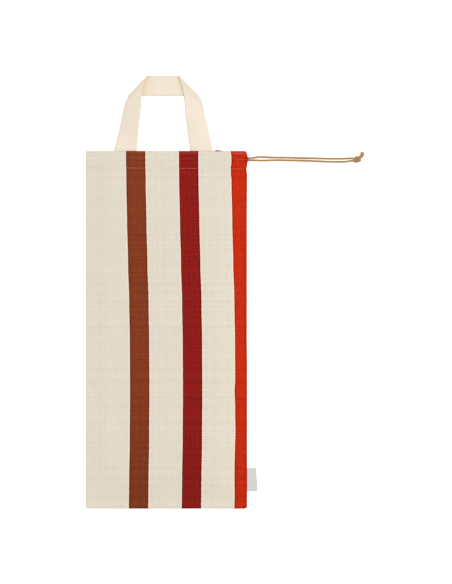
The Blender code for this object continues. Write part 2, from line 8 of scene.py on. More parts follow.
import bmesh
import bpy
from mathutils import Euler, Vector, noise
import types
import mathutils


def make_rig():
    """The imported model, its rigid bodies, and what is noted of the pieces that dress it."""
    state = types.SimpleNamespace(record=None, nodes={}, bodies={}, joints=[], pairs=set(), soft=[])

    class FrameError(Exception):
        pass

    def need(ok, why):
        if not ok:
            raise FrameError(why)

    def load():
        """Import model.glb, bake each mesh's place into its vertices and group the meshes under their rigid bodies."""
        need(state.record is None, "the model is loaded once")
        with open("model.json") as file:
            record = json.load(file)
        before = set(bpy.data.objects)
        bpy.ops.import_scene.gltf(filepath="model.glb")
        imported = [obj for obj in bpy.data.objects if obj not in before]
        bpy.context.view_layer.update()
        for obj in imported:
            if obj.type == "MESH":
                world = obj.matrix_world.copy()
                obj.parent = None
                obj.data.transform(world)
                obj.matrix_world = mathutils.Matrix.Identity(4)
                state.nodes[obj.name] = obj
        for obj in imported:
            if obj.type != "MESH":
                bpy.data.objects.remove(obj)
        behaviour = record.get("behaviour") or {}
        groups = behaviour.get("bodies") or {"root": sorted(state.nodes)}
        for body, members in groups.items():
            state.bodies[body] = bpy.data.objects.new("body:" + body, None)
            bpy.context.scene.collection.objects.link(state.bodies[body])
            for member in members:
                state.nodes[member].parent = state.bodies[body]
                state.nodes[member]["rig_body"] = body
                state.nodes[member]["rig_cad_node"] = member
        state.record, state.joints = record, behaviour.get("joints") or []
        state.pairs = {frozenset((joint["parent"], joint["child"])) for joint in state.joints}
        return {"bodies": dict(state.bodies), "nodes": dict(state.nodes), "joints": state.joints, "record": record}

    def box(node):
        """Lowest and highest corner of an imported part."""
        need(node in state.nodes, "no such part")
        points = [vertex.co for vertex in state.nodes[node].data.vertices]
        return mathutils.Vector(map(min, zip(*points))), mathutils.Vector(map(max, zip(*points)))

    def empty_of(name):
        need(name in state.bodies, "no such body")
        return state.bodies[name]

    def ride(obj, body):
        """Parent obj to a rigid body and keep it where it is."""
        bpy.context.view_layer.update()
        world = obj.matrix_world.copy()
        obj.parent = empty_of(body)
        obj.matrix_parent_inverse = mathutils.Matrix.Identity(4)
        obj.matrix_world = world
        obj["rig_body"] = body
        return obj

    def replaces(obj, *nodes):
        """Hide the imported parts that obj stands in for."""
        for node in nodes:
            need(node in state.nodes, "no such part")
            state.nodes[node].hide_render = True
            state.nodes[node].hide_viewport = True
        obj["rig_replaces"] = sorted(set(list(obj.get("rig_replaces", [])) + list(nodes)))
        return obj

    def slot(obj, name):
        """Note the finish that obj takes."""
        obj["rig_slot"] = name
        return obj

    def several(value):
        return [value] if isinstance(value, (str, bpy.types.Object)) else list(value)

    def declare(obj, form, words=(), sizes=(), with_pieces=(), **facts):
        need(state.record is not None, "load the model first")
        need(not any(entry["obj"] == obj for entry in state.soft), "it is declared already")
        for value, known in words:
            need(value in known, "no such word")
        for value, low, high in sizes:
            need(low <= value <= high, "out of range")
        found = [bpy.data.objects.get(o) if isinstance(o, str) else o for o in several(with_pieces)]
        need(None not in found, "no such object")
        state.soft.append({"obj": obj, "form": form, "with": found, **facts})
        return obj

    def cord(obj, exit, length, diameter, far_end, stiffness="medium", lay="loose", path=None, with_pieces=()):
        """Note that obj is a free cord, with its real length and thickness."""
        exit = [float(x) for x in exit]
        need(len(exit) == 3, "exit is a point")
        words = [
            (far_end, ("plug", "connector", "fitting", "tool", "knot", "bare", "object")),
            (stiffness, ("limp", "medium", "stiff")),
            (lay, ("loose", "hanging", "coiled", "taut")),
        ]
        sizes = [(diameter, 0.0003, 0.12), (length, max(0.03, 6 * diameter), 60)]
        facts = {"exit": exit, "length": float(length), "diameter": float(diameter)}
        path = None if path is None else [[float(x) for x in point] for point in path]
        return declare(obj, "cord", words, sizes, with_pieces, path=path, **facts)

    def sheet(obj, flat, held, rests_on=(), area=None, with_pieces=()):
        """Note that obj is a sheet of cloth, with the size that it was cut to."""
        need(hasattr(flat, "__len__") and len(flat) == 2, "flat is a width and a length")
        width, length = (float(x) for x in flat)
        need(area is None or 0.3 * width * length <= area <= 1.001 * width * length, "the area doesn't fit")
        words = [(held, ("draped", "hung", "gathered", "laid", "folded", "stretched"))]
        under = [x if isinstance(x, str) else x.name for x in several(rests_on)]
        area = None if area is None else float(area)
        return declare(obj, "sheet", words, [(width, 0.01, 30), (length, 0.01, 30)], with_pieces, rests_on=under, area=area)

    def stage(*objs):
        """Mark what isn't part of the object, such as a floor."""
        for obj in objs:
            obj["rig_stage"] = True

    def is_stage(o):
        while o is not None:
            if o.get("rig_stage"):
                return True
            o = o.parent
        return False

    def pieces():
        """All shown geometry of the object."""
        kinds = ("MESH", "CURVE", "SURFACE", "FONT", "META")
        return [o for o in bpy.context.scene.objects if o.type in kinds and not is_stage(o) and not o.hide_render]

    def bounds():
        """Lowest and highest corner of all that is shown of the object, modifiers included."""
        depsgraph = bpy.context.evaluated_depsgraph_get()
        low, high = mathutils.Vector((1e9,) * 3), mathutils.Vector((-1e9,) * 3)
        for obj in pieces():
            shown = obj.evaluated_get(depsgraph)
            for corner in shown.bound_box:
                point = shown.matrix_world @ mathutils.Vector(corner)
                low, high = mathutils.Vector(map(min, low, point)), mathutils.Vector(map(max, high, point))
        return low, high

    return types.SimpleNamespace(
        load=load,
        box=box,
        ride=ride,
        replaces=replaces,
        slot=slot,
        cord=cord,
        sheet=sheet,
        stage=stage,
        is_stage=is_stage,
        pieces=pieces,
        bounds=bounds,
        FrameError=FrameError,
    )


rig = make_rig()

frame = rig.load()
cadBox = [list(corner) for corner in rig.bounds()]
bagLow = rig.box("bag_cloth")[0]
mm = 0.001
square = ((-1, -1), (1, -1), (1, 1), (-1, 1))


def smooth(value):
    value = min(max(value, 0.0), 1.0)
    return value * value * (3 - 2 * value)


def hump(distance, halfWidth):
    return exp(-((distance / halfWidth) ** 2))


def between(low, high, share):
    return low + (high - low) * share


def onBag(across, up, height):  # from the distances to the bag's left edge and bottom
    return Vector((bagLow.x + across, bagLow.y + up, height))


def readTable(rows, at):  # rises smoothly from row to row of a table in millimetres
    at /= mm
    if at <= rows[0][0]:
        return rows[0][1] * mm
    for (low, first), (high, second) in zip(rows, rows[1:]):
        if at < high:
            return between(first, second, smooth((at - low) / (high - low))) * mm
    return rows[-1][1] * mm


def curveThrough(points, share):  # a place on the smooth curve through the points
    at = share * (len(points) - 1)
    i = min(int(at), len(points) - 2)
    t = at - i
    a, b, c, d = (Vector(points[min(max(i + k, 0), len(points) - 1)]) for k in (-1, 0, 1, 2))
    return 0.5 * (2 * b + (c - a) * t + (2 * a - 5 * b + 4 * c - d) * t**2 + (3 * b - a - 3 * c + d) * t**3)


def evenPlaces(fine, step, wholeTurns=1):  # places about a step apart along a line of many points
    run = [0.0]
    for a, b in zip(fine, fine[1:]):
        run.append(run[-1] + (b - a).length)
    steps = max(wholeTurns, round(run[-1] / step / wholeTurns) * wholeTurns)
    places, i = [], 0
    for k in range(steps + 1):
        target = run[-1] * k / steps
        while i < len(fine) - 2 and run[i + 1] < target:
            i += 1
        places.append(fine[i].lerp(fine[i + 1], (target - run[i]) / (run[i + 1] - run[i])))
    return places, run[-1]


def sideAndUp(along):  # the level direction across a run, and the one over it
    side = Vector((0, 0, 1)).cross(along).normalized()
    return side, along.cross(side)


def circled(side, up, angle):
    return side * cos(angle) + up * sin(angle)


# Shader maths: a Wire is one output socket, and sums of Wires add their Math nodes.


def maths(operation, reflected=False):
    def apply(wire, other):
        first, second = (other, wire) if reflected else (wire, other)
        return wire.finish.node("ShaderNodeMath", {"operation": operation}, {0: first, 1: second})

    return apply


class Wire:
    def __init__(self, finish, socket):
        self.finish = finish
        self.socket = socket

    __add__ = __radd__ = maths("ADD")
    __mul__ = __rmul__ = maths("MULTIPLY")
    __sub__, __rsub__ = maths("SUBTRACT"), maths("SUBTRACT", True)
    __truediv__, __rtruediv__ = maths("DIVIDE"), maths("DIVIDE", True)
    __pow__, __rpow__ = maths("POWER"), maths("POWER", True)
    __mod__, __rmod__ = maths("FLOORED_MODULO"), maths("FLOORED_MODULO", True)
    __gt__, __lt__ = maths("GREATER_THAN"), maths("LESS_THAN")  # each is the other's reflected form
    least, most = maths("MINIMUM"), maths("MAXIMUM")


paintedShadeMark = {"deepest": 0.9, "slack": 0.04}  # a mark's whole part is a face of the cloth, its rest how much painted shade it takes


class Finish:  # one material, built up node by node
    def __init__(self, name, roughness, gloss=0.05):
        self.material = bpy.data.materials.new(name)
        self.material.use_nodes = True
        self.tree = self.material.node_tree
        self.shader = self.tree.nodes["Principled BSDF"]
        self.shade("Roughness", roughness)
        self.shade("Specular IOR Level", gloss)

    def shade(self, name, value):
        self.plug(self.shader.inputs[name], value)

    def plug(self, socket, value):
        if isinstance(value, Wire):
            self.tree.links.new(value.socket, socket)
        elif socket.type == "RGBA":
            socket.default_value = (*value, 1)
        else:
            socket.default_value = value

    def node(self, kind, settings, sockets, out=0):
        made = self.tree.nodes.new(kind)
        for key, value in settings.items():
            setattr(made, key, value)
        for key, value in sockets.items():
            self.plug(made.inputs[key], value)
        return Wire(self, made.outputs[out])

    def single(self, operation, value):  # maths on one number
        return self.node("ShaderNodeMath", {"operation": operation}, {0: value})

    def whole(self, value):
        return self.single("FLOOR", value)

    def wave(self, value):  # nought at whole numbers, one half way between them
        return self.single("ABSOLUTE", self.single("SINE", value * pi))

    def rising(self, value, low, high):
        sockets = {"Value": value, "From Min": low, "From Max": high}
        return self.node("ShaderNodeMapRange", {"interpolation_type": "SMOOTHSTEP"}, sockets)

    def mix(self, share, low, high):
        return self.node("ShaderNodeMix", {"data_type": "RGBA"}, {0: share, 6: low, 7: high}, 2)

    def clouds(self, across, up, scales, layer=0.0, detail=2.0):  # a layer of soft noise
        place = self.node("ShaderNodeCombineXYZ", {}, {0: across * scales[0], 1: up * scales[1], 2: layer})
        return self.node("ShaderNodeTexNoise", {}, {"Vector": place, "Scale": 1.0, "Detail": detail})

    def threadTone(self, number):  # 0 to 1, a value of its own for each thread
        return self.node("ShaderNodeTexWhiteNoise", {"noise_dimensions": "1D"}, {"W": number})

    def weavePlace(self):  # along the cloth's own two directions, and its mark
        place = self.node("ShaderNodeAttribute", {"attribute_name": "weavePlace"}, {}, "Vector")
        return [self.node("ShaderNodeSeparateXYZ", {}, {0: place}, k) for k in range(3)]

    # the face of the cloth, and the painted shade that its mark carries
    def faceAndShade(self, mark):
        face = self.whole(mark + paintedShadeMark["slack"])
        return face, (mark - face) / paintedShadeMark["deepest"]

    def raised(self, height, distance):
        sockets = {"Height": height, "Distance": distance, "Strength": 1.0}
        self.shade("Normal", self.node("ShaderNodeBump", {}, sockets))

    def coloured(self, colour, tone=None):
        if tone is not None:
            colour = self.node("ShaderNodeVectorMath", {"operation": "SCALE"}, {0: colour, "Scale": tone})
        self.shade("Base Color", colour)


class Skin:  # points and faces, with the weave's own coordinates, gathered before they become a piece
    def __init__(self):
        self.points = []
        self.spots = []
        self.faces = []
        self.marks = []

    def point(self, place, spot):
        self.points.append(place)
        self.spots.append(spot)
        return len(self.points) - 1

    def face(self, corners, mark=(1, 0)):  # a mark says which way the first coordinate runs, and which face
        self.faces.append(corners)
        self.marks.append(mark)

    def ring(self, middle, side, up, corners, along, apart, third):  # a small round section
        return [
            self.point(middle + circled(side, up, tau * k / corners), (along, k * apart, third))
            for k in range(corners)
        ]

    def bridge(self, rings, marks=None, ends=True, split=False):  # faces from ring to ring and over both ends
        for first, second in zip(rings, rings[1:]):
            for i in range(len(first)):
                a, b, c, d = first[i], first[(i + 1) % len(first)], second[(i + 1) % len(first)], second[i]
                for corners in ((a, b, d), (b, c, d)) if split else ((a, b, c, d),):
                    self.face(corners, marks[i] if marks else (1, 0))
        if ends:
            self.face(tuple(rings[0]))
            self.face(tuple(rings[-1]))

    def toObject(self, name, finish):
        mesh = bpy.data.meshes.new(name)
        mesh.from_pydata([tuple(p) for p in self.points], [], self.faces)
        work = bmesh.new()
        work.from_mesh(mesh)
        bmesh.ops.recalc_face_normals(work, faces=work.faces)
        work.to_mesh(mesh)
        work.free()
        values = []
        for polygon, (way, side) in zip(mesh.polygons, self.marks):
            for number in polygon.vertices:
                first, second, third = self.spots[number]
                values += (first * way, second, third + side)
        mesh.attributes.new("weavePlace", "FLOAT_VECTOR", "CORNER").data.foreach_set("vector", values)
        mesh.materials.append(finish.material)
        return placed(name, mesh)


def placed(name, data):
    made = bpy.data.objects.new(name, data)
    bpy.context.collection.objects.link(made)
    return made


def settle(piece, slot, *nodes, sharpFrom=50):  # a finished piece takes the place of the nodes
    piece.data.shade_smooth()
    piece.data.set_sharp_from_angle(angle=radians(sharpFrom))
    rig.ride(piece, "root")
    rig.slot(piece, slot)
    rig.replaces(piece, *nodes)


# Camera: straight above, as in the photograph

view = {
    "metresPerPixel": 0.00174, "pixelsHigh": 584, "middle": (0.0943, 0.0009), "height": 8.0,
    "sensor": 36.0, "farthest": 100,
}


def makeCamera():
    data = bpy.data.cameras.new("camera")
    data.sensor_width = view["sensor"]
    data.lens = view["sensor"] * view["height"] / (view["metresPerPixel"] * view["pixelsHigh"])
    data.clip_end = view["farthest"]
    camera = placed("camera", data)
    camera.location = (*view["middle"], view["height"])
    bpy.context.scene.camera = camera


# Light and floor

studio = {
    "room": 0.735, "key": 305.0, "keySize": 3.4, "keyDistance": 8.0,
    "keyTilt": 28, "keyFrom": 35,  # degrees from straight above, and round from +X
    "floor": (0.68, 0.68, 0.68), "floorGlow": 0.63, "floorSize": 12.0, "floorDrop": 0.0004,
}


def floorFinish():  # a lit white sweep
    finish = Finish("pale floor", roughness=0.9)
    finish.coloured(studio["floor"])
    finish.shade("Emission Color", (1, 1, 1))
    finish.shade("Emission Strength", studio["floorGlow"])
    return finish.material


def makeStudio():
    world = bpy.data.worlds.new("soft room")
    world.use_nodes = True
    back = world.node_tree.nodes["Background"]
    back.inputs["Color"].default_value = (1, 1, 1, 1)
    back.inputs["Strength"].default_value = studio["room"]
    bpy.context.scene.world = world
    light = bpy.data.lights.new("soft key", "AREA")
    light.energy = studio["key"]
    light.shape = "DISK"
    light.size = studio["keySize"]
    tilt, turn = radians(studio["keyTilt"]), radians(studio["keyFrom"])
    way = Vector((sin(tilt) * cos(turn), sin(tilt) * sin(turn), cos(tilt)))
    key = placed("soft key", light)
    key.location = way * studio["keyDistance"]
    key.rotation_euler = way.to_track_quat("Z", "Y").to_euler()
    key.visible_camera = False
    half = studio["floorSize"] / 2
    mesh = bpy.data.meshes.new("floor")
    corners = [(x * half, y * half, -studio["floorDrop"]) for x, y in square]
    mesh.from_pydata(corners, [], [(0, 1, 2, 3)])
    mesh.materials.append(floorFinish())
    floor = placed("floor", mesh)
    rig.stage(floor)
    bpy.context.scene.view_settings.view_transform = "Standard"


# Drawcord: two strands of three-ply cord from the casing to the knot, and their two short tails

cord = {
    "diameter": 0.004, "ply": 0.00096, "plyOut": 0.00086,  # a ply's radius, and its distance from the middle
    "lay": 0.0165, "turnSteps": 20, "plySides": 8,
    # deep is the painted shade in the grooves between the plies
    "tan": (0.425, 0.24, 0.104), "pale": (0.605, 0.375, 0.18), "deep": (0.16, 0.075, 0.027),
    "yarn": 0.00042, "yarnLay": 0.0026, "fibreScale": (220, 5200), "patchScale": (90, 120), "relief": 0.00022,
    "hairs": 26, "hairLength": 0.0016, "hair": (0.00007, 0.000056, 0.000021), "hairRoot": 0.0006,
    "tailScale": 1.18, "routeSteps": 24, "tone": 0.62, "fibreTone": 0.62, "yarnTone": 0.14,
}

# Millimetres from the right seam, above the cord's exit, and up
upperRoute = [
    (-9.4, 2, 6.9), (-3, 2, 6.9), (3.5, 2, 6.8), (7.5, 2.3, 6.4), (11.5, 2.8, 5.7), (16, 3.7, 4),
    (22, 4, 2.4), (30, 4, 2), (52, 3.3, 2), (73, 3.1, 2), (93, 2.4, 2), (114, 2.1, 2), (135, 1.5, 2),
    (156, 1.2, 2), (168, 1.4, 2.2), (177, 1.8, 3), (184.6, 1.7, 4.2), (187.6, 1.2, 4.6),
]
lowerRoute = [
    (-9.4, -1.4, 3.6), (-3, -1.4, 3.6), (3.5, -1.5, 3.5), (7.5, -1.6, 2.9), (11.5, -1.7, 2.3),
    (16, -1.6, 2), (22, -1.9, 2), (30, -1.9, 2), (52, -1.4, 2), (73, -1.7, 2), (93, -2.2, 2),
    (114, -2.9, 2), (135, -3.8, 2), (156, -4.4, 2), (168, -4.2, 2.2), (177, -3.3, 3), (184.3, -2.4, 4.2),
    (187.4, -1.8, 4.6),
]
nearTailRoute = [
    (193.6, 0.4, 4.6), (195.8, 1.3, 4.3), (197.5, 2.6, 3.6), (199.8, 4.7, 2.7), (201.8, 7.2, 2.1),
    (202.4, 9.4, 2), (201.6, 11.2, 2), (200.1, 12.1, 2),
]
farTailRoute = [
    (192.6, 0.8, 6), (194.3, 2.7, 6.5), (196, 4.5, 6.8), (198, 6.5, 6.7), (199.7, 8.3, 6.5),
    (200.2, 9.8, 6.4), (199.6, 11.2, 6.3), (198.4, 12, 6.2),
]
knot = {
    "centre": (192.1, -0.3, 4.6), "size": (0.0134, 0.0126, 0.0092), "loops": 1.3, "turn": -45,
    "strand": 0.004, "apart": 0.0031, "samples": 240,
}


def cordFinish():
    finish = Finish("twisted cord", roughness=0.75, gloss=0.15)
    along, around, groove = finish.weavePlace()
    fibres = finish.clouds(along, around, cord["fibreScale"], 0.0, 3.0)
    patches = finish.clouds(along, around, cord["patchScale"], 4.0)
    yarns = finish.wave(around / cord["yarn"] + along / cord["yarnLay"])
    colour = finish.mix(patches * 0.9 - 0.15, cord["tan"], cord["pale"])
    # painted shade in the grooves between the plies
    colour = finish.mix(groove**2.5 * 0.8, colour, cord["deep"])
    finish.coloured(colour, cord["tone"] + fibres * cord["fibreTone"] + yarns * cord["yarnTone"])
    finish.raised(yarns * 0.5 + fibres * 0.9, cord["relief"])
    return finish


def plySection(scale):  # the outline of three plies laid together
    count = 3 * cord["plySides"]
    places = []
    for k in range(count):
        angle = tau * k / count
        off = (angle + pi / 3) % (tau / 3) - pi / 3
        reach = cord["plyOut"] * cos(off)
        reach += sqrt(cord["ply"] ** 2 - (cord["plyOut"] * sin(off)) ** 2)
        places.append((angle, reach * scale, off * cord["ply"] * scale, abs(off) / (pi / 3)))
    return places


def twistedTube(skin, places, scale=1.0, closed=False, turn=0.0):  # along evenly spaced places
    section = plySection(scale)
    last = len(places) - 1
    step = (places[1] - places[0]).length
    rings = []
    for i, place in enumerate(places[:-1] if closed else places):
        before = places[i - 1] if i > 0 else places[last - 1 if closed else 0]
        side, up = sideAndUp((places[min(i + 1, last)] - before).normalized())
        twist = turn + tau * i / cord["turnSteps"]
        rings.append([
            skin.point(place + circled(side, up, angle + twist) * reach, (i * step, off, groove))
            for angle, reach, off, groove in section
        ])
    if closed:
        rings.append(rings[0])
    skin.bridge(rings, ends=not closed, split=True)


def fromExit(across, rise, height):  # from the right seam, above the cord's exit, and up
    return onBag(bag["width"] + across, bag["height"] - hem["cordDepth"] + rise, height)


def cordPlaces(route):
    samples = cord["routeSteps"] * (len(route) - 1)
    fine = [fromExit(*curveThrough(route, k / samples) * mm) for k in range(samples + 1)]
    return evenPlaces(fine, cord["lay"] / cord["turnSteps"])


def frayedEnd(skin, places, seed):  # short fibres that stand out of a cut end
    tip, along = places[-1], (places[-1] - places[-3]).normalized()
    side, up = sideAndUp(along)
    for k in range(cord["hairs"]):
        ray = circled(side, up, 2.4 * k + seed)  # about a golden angle on from the last
        out = cord["diameter"] / 2 * 0.9 * sqrt((k + 0.5) / cord["hairs"])
        flare = ray * (0.25 + 0.45 * abs(noise.noise(Vector((k * 1.7, seed, 0.5)))))
        length = cord["hairLength"] * (0.55 + 0.9 * abs(noise.noise(Vector((k * 2.3, seed, 9.5)))))
        root = tip + ray * out - along * cord["hairRoot"]
        middle = root + (along + flare * 0.4) * (cord["hairRoot"] + length / 2)
        end = middle + (along + flare).normalized() * length / 2
        skin.bridge([
            skin.ring(place, side * thick, up * thick, 3, (place - root).length, 0.0003, 0.2)
            for place, thick in zip((root, middle, end), cord["hair"])
        ])


def knotRun(offset):  # one of the two strands round the knot
    turn = Euler((0, 0, radians(knot["turn"])))
    fine = []
    for k in range(knot["samples"] + 1):
        a = tau * k / knot["samples"]
        place = Vector((
            sin(a) + knot["loops"] * sin(2 * a), cos(a) - knot["loops"] * cos(2 * a), sin(3 * a),
        ))
        place.rotate(turn)
        fine.append(place)
    low, high = ([pick(place[i] for place in fine) for i in range(3)] for pick in (min, max))
    wide = knot["strand"] + knot["apart"]
    room = [knot["size"][0] - wide, knot["size"][1] - wide, knot["size"][2] - knot["strand"]]
    centre = fromExit(*Vector(knot["centre"]) * mm)
    fitted = [
        centre + Vector([((place[i] - low[i]) / (high[i] - low[i]) - 0.5) * room[i] for i in range(3)])
        for place in fine
    ]
    moved = []
    for k, place in enumerate(fitted[:-1]):
        along = fitted[k + 1] - fitted[k - 1 if k else -2]
        moved.append(place + sideAndUp(along)[0] * offset)
    return moved + [moved[0]]


def laidCord(finish, name, route, node, tail=None):  # a tail's number gives its turn and its fibres
    skin = Skin()
    places, length = cordPlaces(route)
    if tail is None:
        twistedTube(skin, places)
    else:
        twistedTube(skin, places, cord["tailScale"], turn=tail * 1.1)
        frayedEnd(skin, places, tail * 5.1)
    piece = skin.toObject(name, finish)
    settle(piece, "twisted_cord", node)
    return piece, places, length


def makeCords():
    finish = cordFinish()
    upper = laidCord(finish, "strandUpper", upperRoute, "cord_strand_upper")
    lower = laidCord(finish, "strandLower", lowerRoute, "cord_strand_lower")
    skin = Skin()
    for offset in (-knot["apart"] / 2, knot["apart"] / 2):
        places = evenPlaces(knotRun(offset), cord["lay"] / cord["turnSteps"], cord["turnSteps"])[0]
        twistedTube(skin, places, knot["strand"] / cord["diameter"], closed=True)
    tied = skin.toObject("cordKnot", finish)
    settle(tied, "twisted_cord", "cord_knot")
    near = laidCord(finish, "tailNear", nearTailRoute, "cord_tail_near", 0)[0]
    far = laidCord(finish, "tailFar", farTailRoute, "cord_tail_far", 1)[0]
    for (piece, places, length), others in ((upper, [tied, near, far]), (lower, [])):
        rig.cord(
            piece, exit=places[round(len(places) * 0.05)], length=length, diameter=cord["diameter"],
            far_end="knot", stiffness="limp", lay="loose", path=places, with_pieces=others,
        )
    print("cords made:", round(upper[2], 4), "and", round(lower[2], 4), "long")


# Bag cloth

bag = {
    "width": 0.28, "height": 0.623, "cloth": 0.001, "seamAllowance": 0.012,
    "foldThickness": 0.0046, "puff": 0.009, "puffReach": 0.042, "leftRadius": 0.0025, "fuller": 0.00035,
    "lowEdge": 0.001, "cornerLeft": 0.003, "cornerRight": 0.0044, "rounding": 0.0013, "edgeSteps": 5,
    "lipCloth": 0.7, "lipDip": 0.35, "mouthSteps": 4, "mouthCloth": 1.5,
    "casingSpread": 0.055, "spreadRun": 0.03,
    "backPeek": 0.0022, "frontDip": 0.0011, "peekAt": 0.2276, "peekHalf": 0.0056, "peekRun": 0.02,
    "mouthDrop": 0.0009, "mouthRun": 0.0036,
    "endDrop": 0.0011, "endRun": 0.0065, "endFrom": 0.235, "endSoft": 0.02,
    "allowanceStep": 0.00025, "allowanceSoft": 0.0015, "bowRun": 0.06,
    # Height, size across, size up, and a layer of noise of its own
    "waves": (0.0004, 0.085, 0.15, 7.7), "puckers": (0.00042, 0.011, 0.06, 3.1),
    "gathers": (0.0011, 0.0048, 0.016, 5.9), "crumple": (0.00007, 0.02, 0.034, 1.3),
    "puckerBelow": 0.028, "puckerAbove": 0.01,
    "gatherFrom": 0.236, "gatherRun": 0.024, "gatherDepth": 0.06, "gatherRise": 0.025,
    "labelLump": 0.001, "lumpAcross": 0.018, "lumpAlong": 0.024, "lumpUp": 0.0515,
    # The cloth drawn into the stitching and into the mouth's fold: how far, depth and half width
    "drawnIn": [(0.0012, 0.0295, 0.0045), (0.001, 0.0, 0.005)], "drawnFrom": 0.225, "drawnRun": 0.02,
}
hem = {
    "depth": 0.03, "step": 0.008, "lift": 0.0002, "groove": 0.0006, "grooveWidth": 0.0015,
    "cordDepth": 0.0145, "under": 0.0009, "underRun": 0.007, "underFrom": 0.004, "underBack": 0.055,
    "endThickness": 0.011, "endAcross": 0.014, "endAlong": 0.008, "mouthDepth": 0.01,
}
casingCords = [  # the strands inside, as ridges: height, half width, and places across and below the mouth
    (0.0006, 0.0024, [(0, 14.6), (90, 13.6), (180, 14.2), (262, 13.1)]),
    (0.0005, 0.0024, [(0, 19.6), (90, 20.4), (225, 20.6), (275, 15)]),
]
stitchDrop = [(0, 29), (170, 30.3), (280, 31.2)]  # across, and how far below the mouth the stitching runs
stripeBow = [  # up the bag, and how far the stripes bow to the right
    (5, 4.8), (50, 5.3), (120, 6.4), (207, 6.9), (290, 6.5), (360, 5.4), (430, 3.4), (500, 1.7),
    (570, 0.4), (621, 0),
]
rightEdgeOut = [  # below the mouth, and how far the casing draws the right seam out
    (0, -1.9), (3.5, -0.3), (8, 0.7), (14.5, 2.2), (21, 0.7), (28, -0.5), (31.5, -1.1), (36, -0.5),
    (44, 0.2), (60, -0.1), (120, -0.4), (330, -0.4), (365, 0),
]
softFolds = [  # millimetres: from and to a place across and up, half width and height
    ((-20, 196), (300, 193), 7, -0.6),  # old crease
    ((0, 232), (90, 222), 24, 0.35),  # slack above the crease
    ((0, 160), (60, 168), 22, -0.3),  # slack below the crease
    ((118, 588), (121, 510), 7, 0.4),  # pucker below the casing
    ((285, 585), (205, 540), 16, 0.35),  # pull towards the cord
    ((222, 480), (228, 90), 30, 0.35),  # fullness on the right
]
linen = {  # a coarse basket weave: two threads over two, each pair a cell
    "cellAcross": 0.00217, "cellUp": 0.00261, "repeat": 0.328, "ecru": (0.765, 0.7, 0.583),
    "stripes": [  # from, to, dye, and the bends of its edges: up the bag, half width and how far out
        (0.0699, 0.1036, (0.231, 0.0448, 0.016), [(0.61, 0.022, -0.0003)]),
        (0.1618, 0.1956, (0.267, 0.0132, 0.0101), [(0.59, 0.04, -0.0002)]),
        (0.2527, 0.2857, (0.565, 0.0275, 0.0066), [
            (0.583, 0.007, -0.001), (0.204, 0.016, -0.001), (0.136, 0.02, 0.0009), (0.018, 0.03, 0.0008)]),
    ],
    "dyedBelow": 0.3,  # only the stripes have less blue
    "crown": (0.45, 0.55),  # a thread's height where it dives, and what it gains over the other pair
    "edgeJitter": 0.00035, "deeperBelow": 0.3, "deeper": (0.1375, 0.0825),
    # painted shade in the weave's grooves, and a painted sheen on the cells where the warp lies over
    "grooveShade": 0.1, "overSheen": 0.15, "threadTone": 0.1, "slubs": 0.22, "patches": 0.03,
    "slubScale": (900, 60), "patchScale": (26, 18), "mottleScale": (420, 420), "shadeStreakScale": (330, 90),
    "printMottle": 0.9, "printThreads": 0.22, "printSlubs": 0.45,
    # painted shade: dark streaks in the gathers at the casing's open end
    "gathers": 1.6, "gathersFrom": 0.245, "gathersAbove": 0.034, "shadeStreakFrom": 0.52,
    # painted shade along the mouth's top edge, and along the stripes' bottom edge
    "mouthShade": 0.09, "mouthShadeHalf": 0.0024, "lowEdgeShade": 0.24, "lowEdgeShadeAt": 0.0022, "lowEdgeShadeHalf": 0.0012,
    # Thinner dye, painted shade and painted highlights along lines across the bag: depth, half width, tone and
    # bareness, from left to right where in pairs
    "ridges": [
        ((0.0109, 0.0149), 0.001, (0.05, 0.03), (0.028, 0.02)),  # first cord
        ((0.019, 0.0196), 0.001, (0.02, 0), (0.014, 0)),  # second cord
        ((0.0012, 0.0016), 0.0008, (0, -0.28), (0, 0.07)),  # painted shade along the mouth's top edge, with ecru mixed in on the right
        ((0.0022, 0.0043), 0.0012, (0, 0.1), (0.01, 0.065)),  # painted highlight along the mouth's fold
        ((0.0291, 0.0312), 0.0011, (0.05, 0.2), (0, 0.006)),  # stitching
        ((0.429, 0.4322), 0.0026, (0.03, -0.08), (0, 0)),  # painted shade along the old crease on the right
        ((0.6103, 0.6103), 0.001, (0.05, 0.04), (0.01, 0.006)),  # bottom seam
    ],
    "edging": {"off": 0.001, "half": 0.0011, "deep": 0.34, "pale": 0.95, "colour": (0.925, 0.762, 0.622)},
    "relief": 0.00045, "seamShade": 0.252, "seamIn": 0.0021, "seamHalf": 0.0013,
}


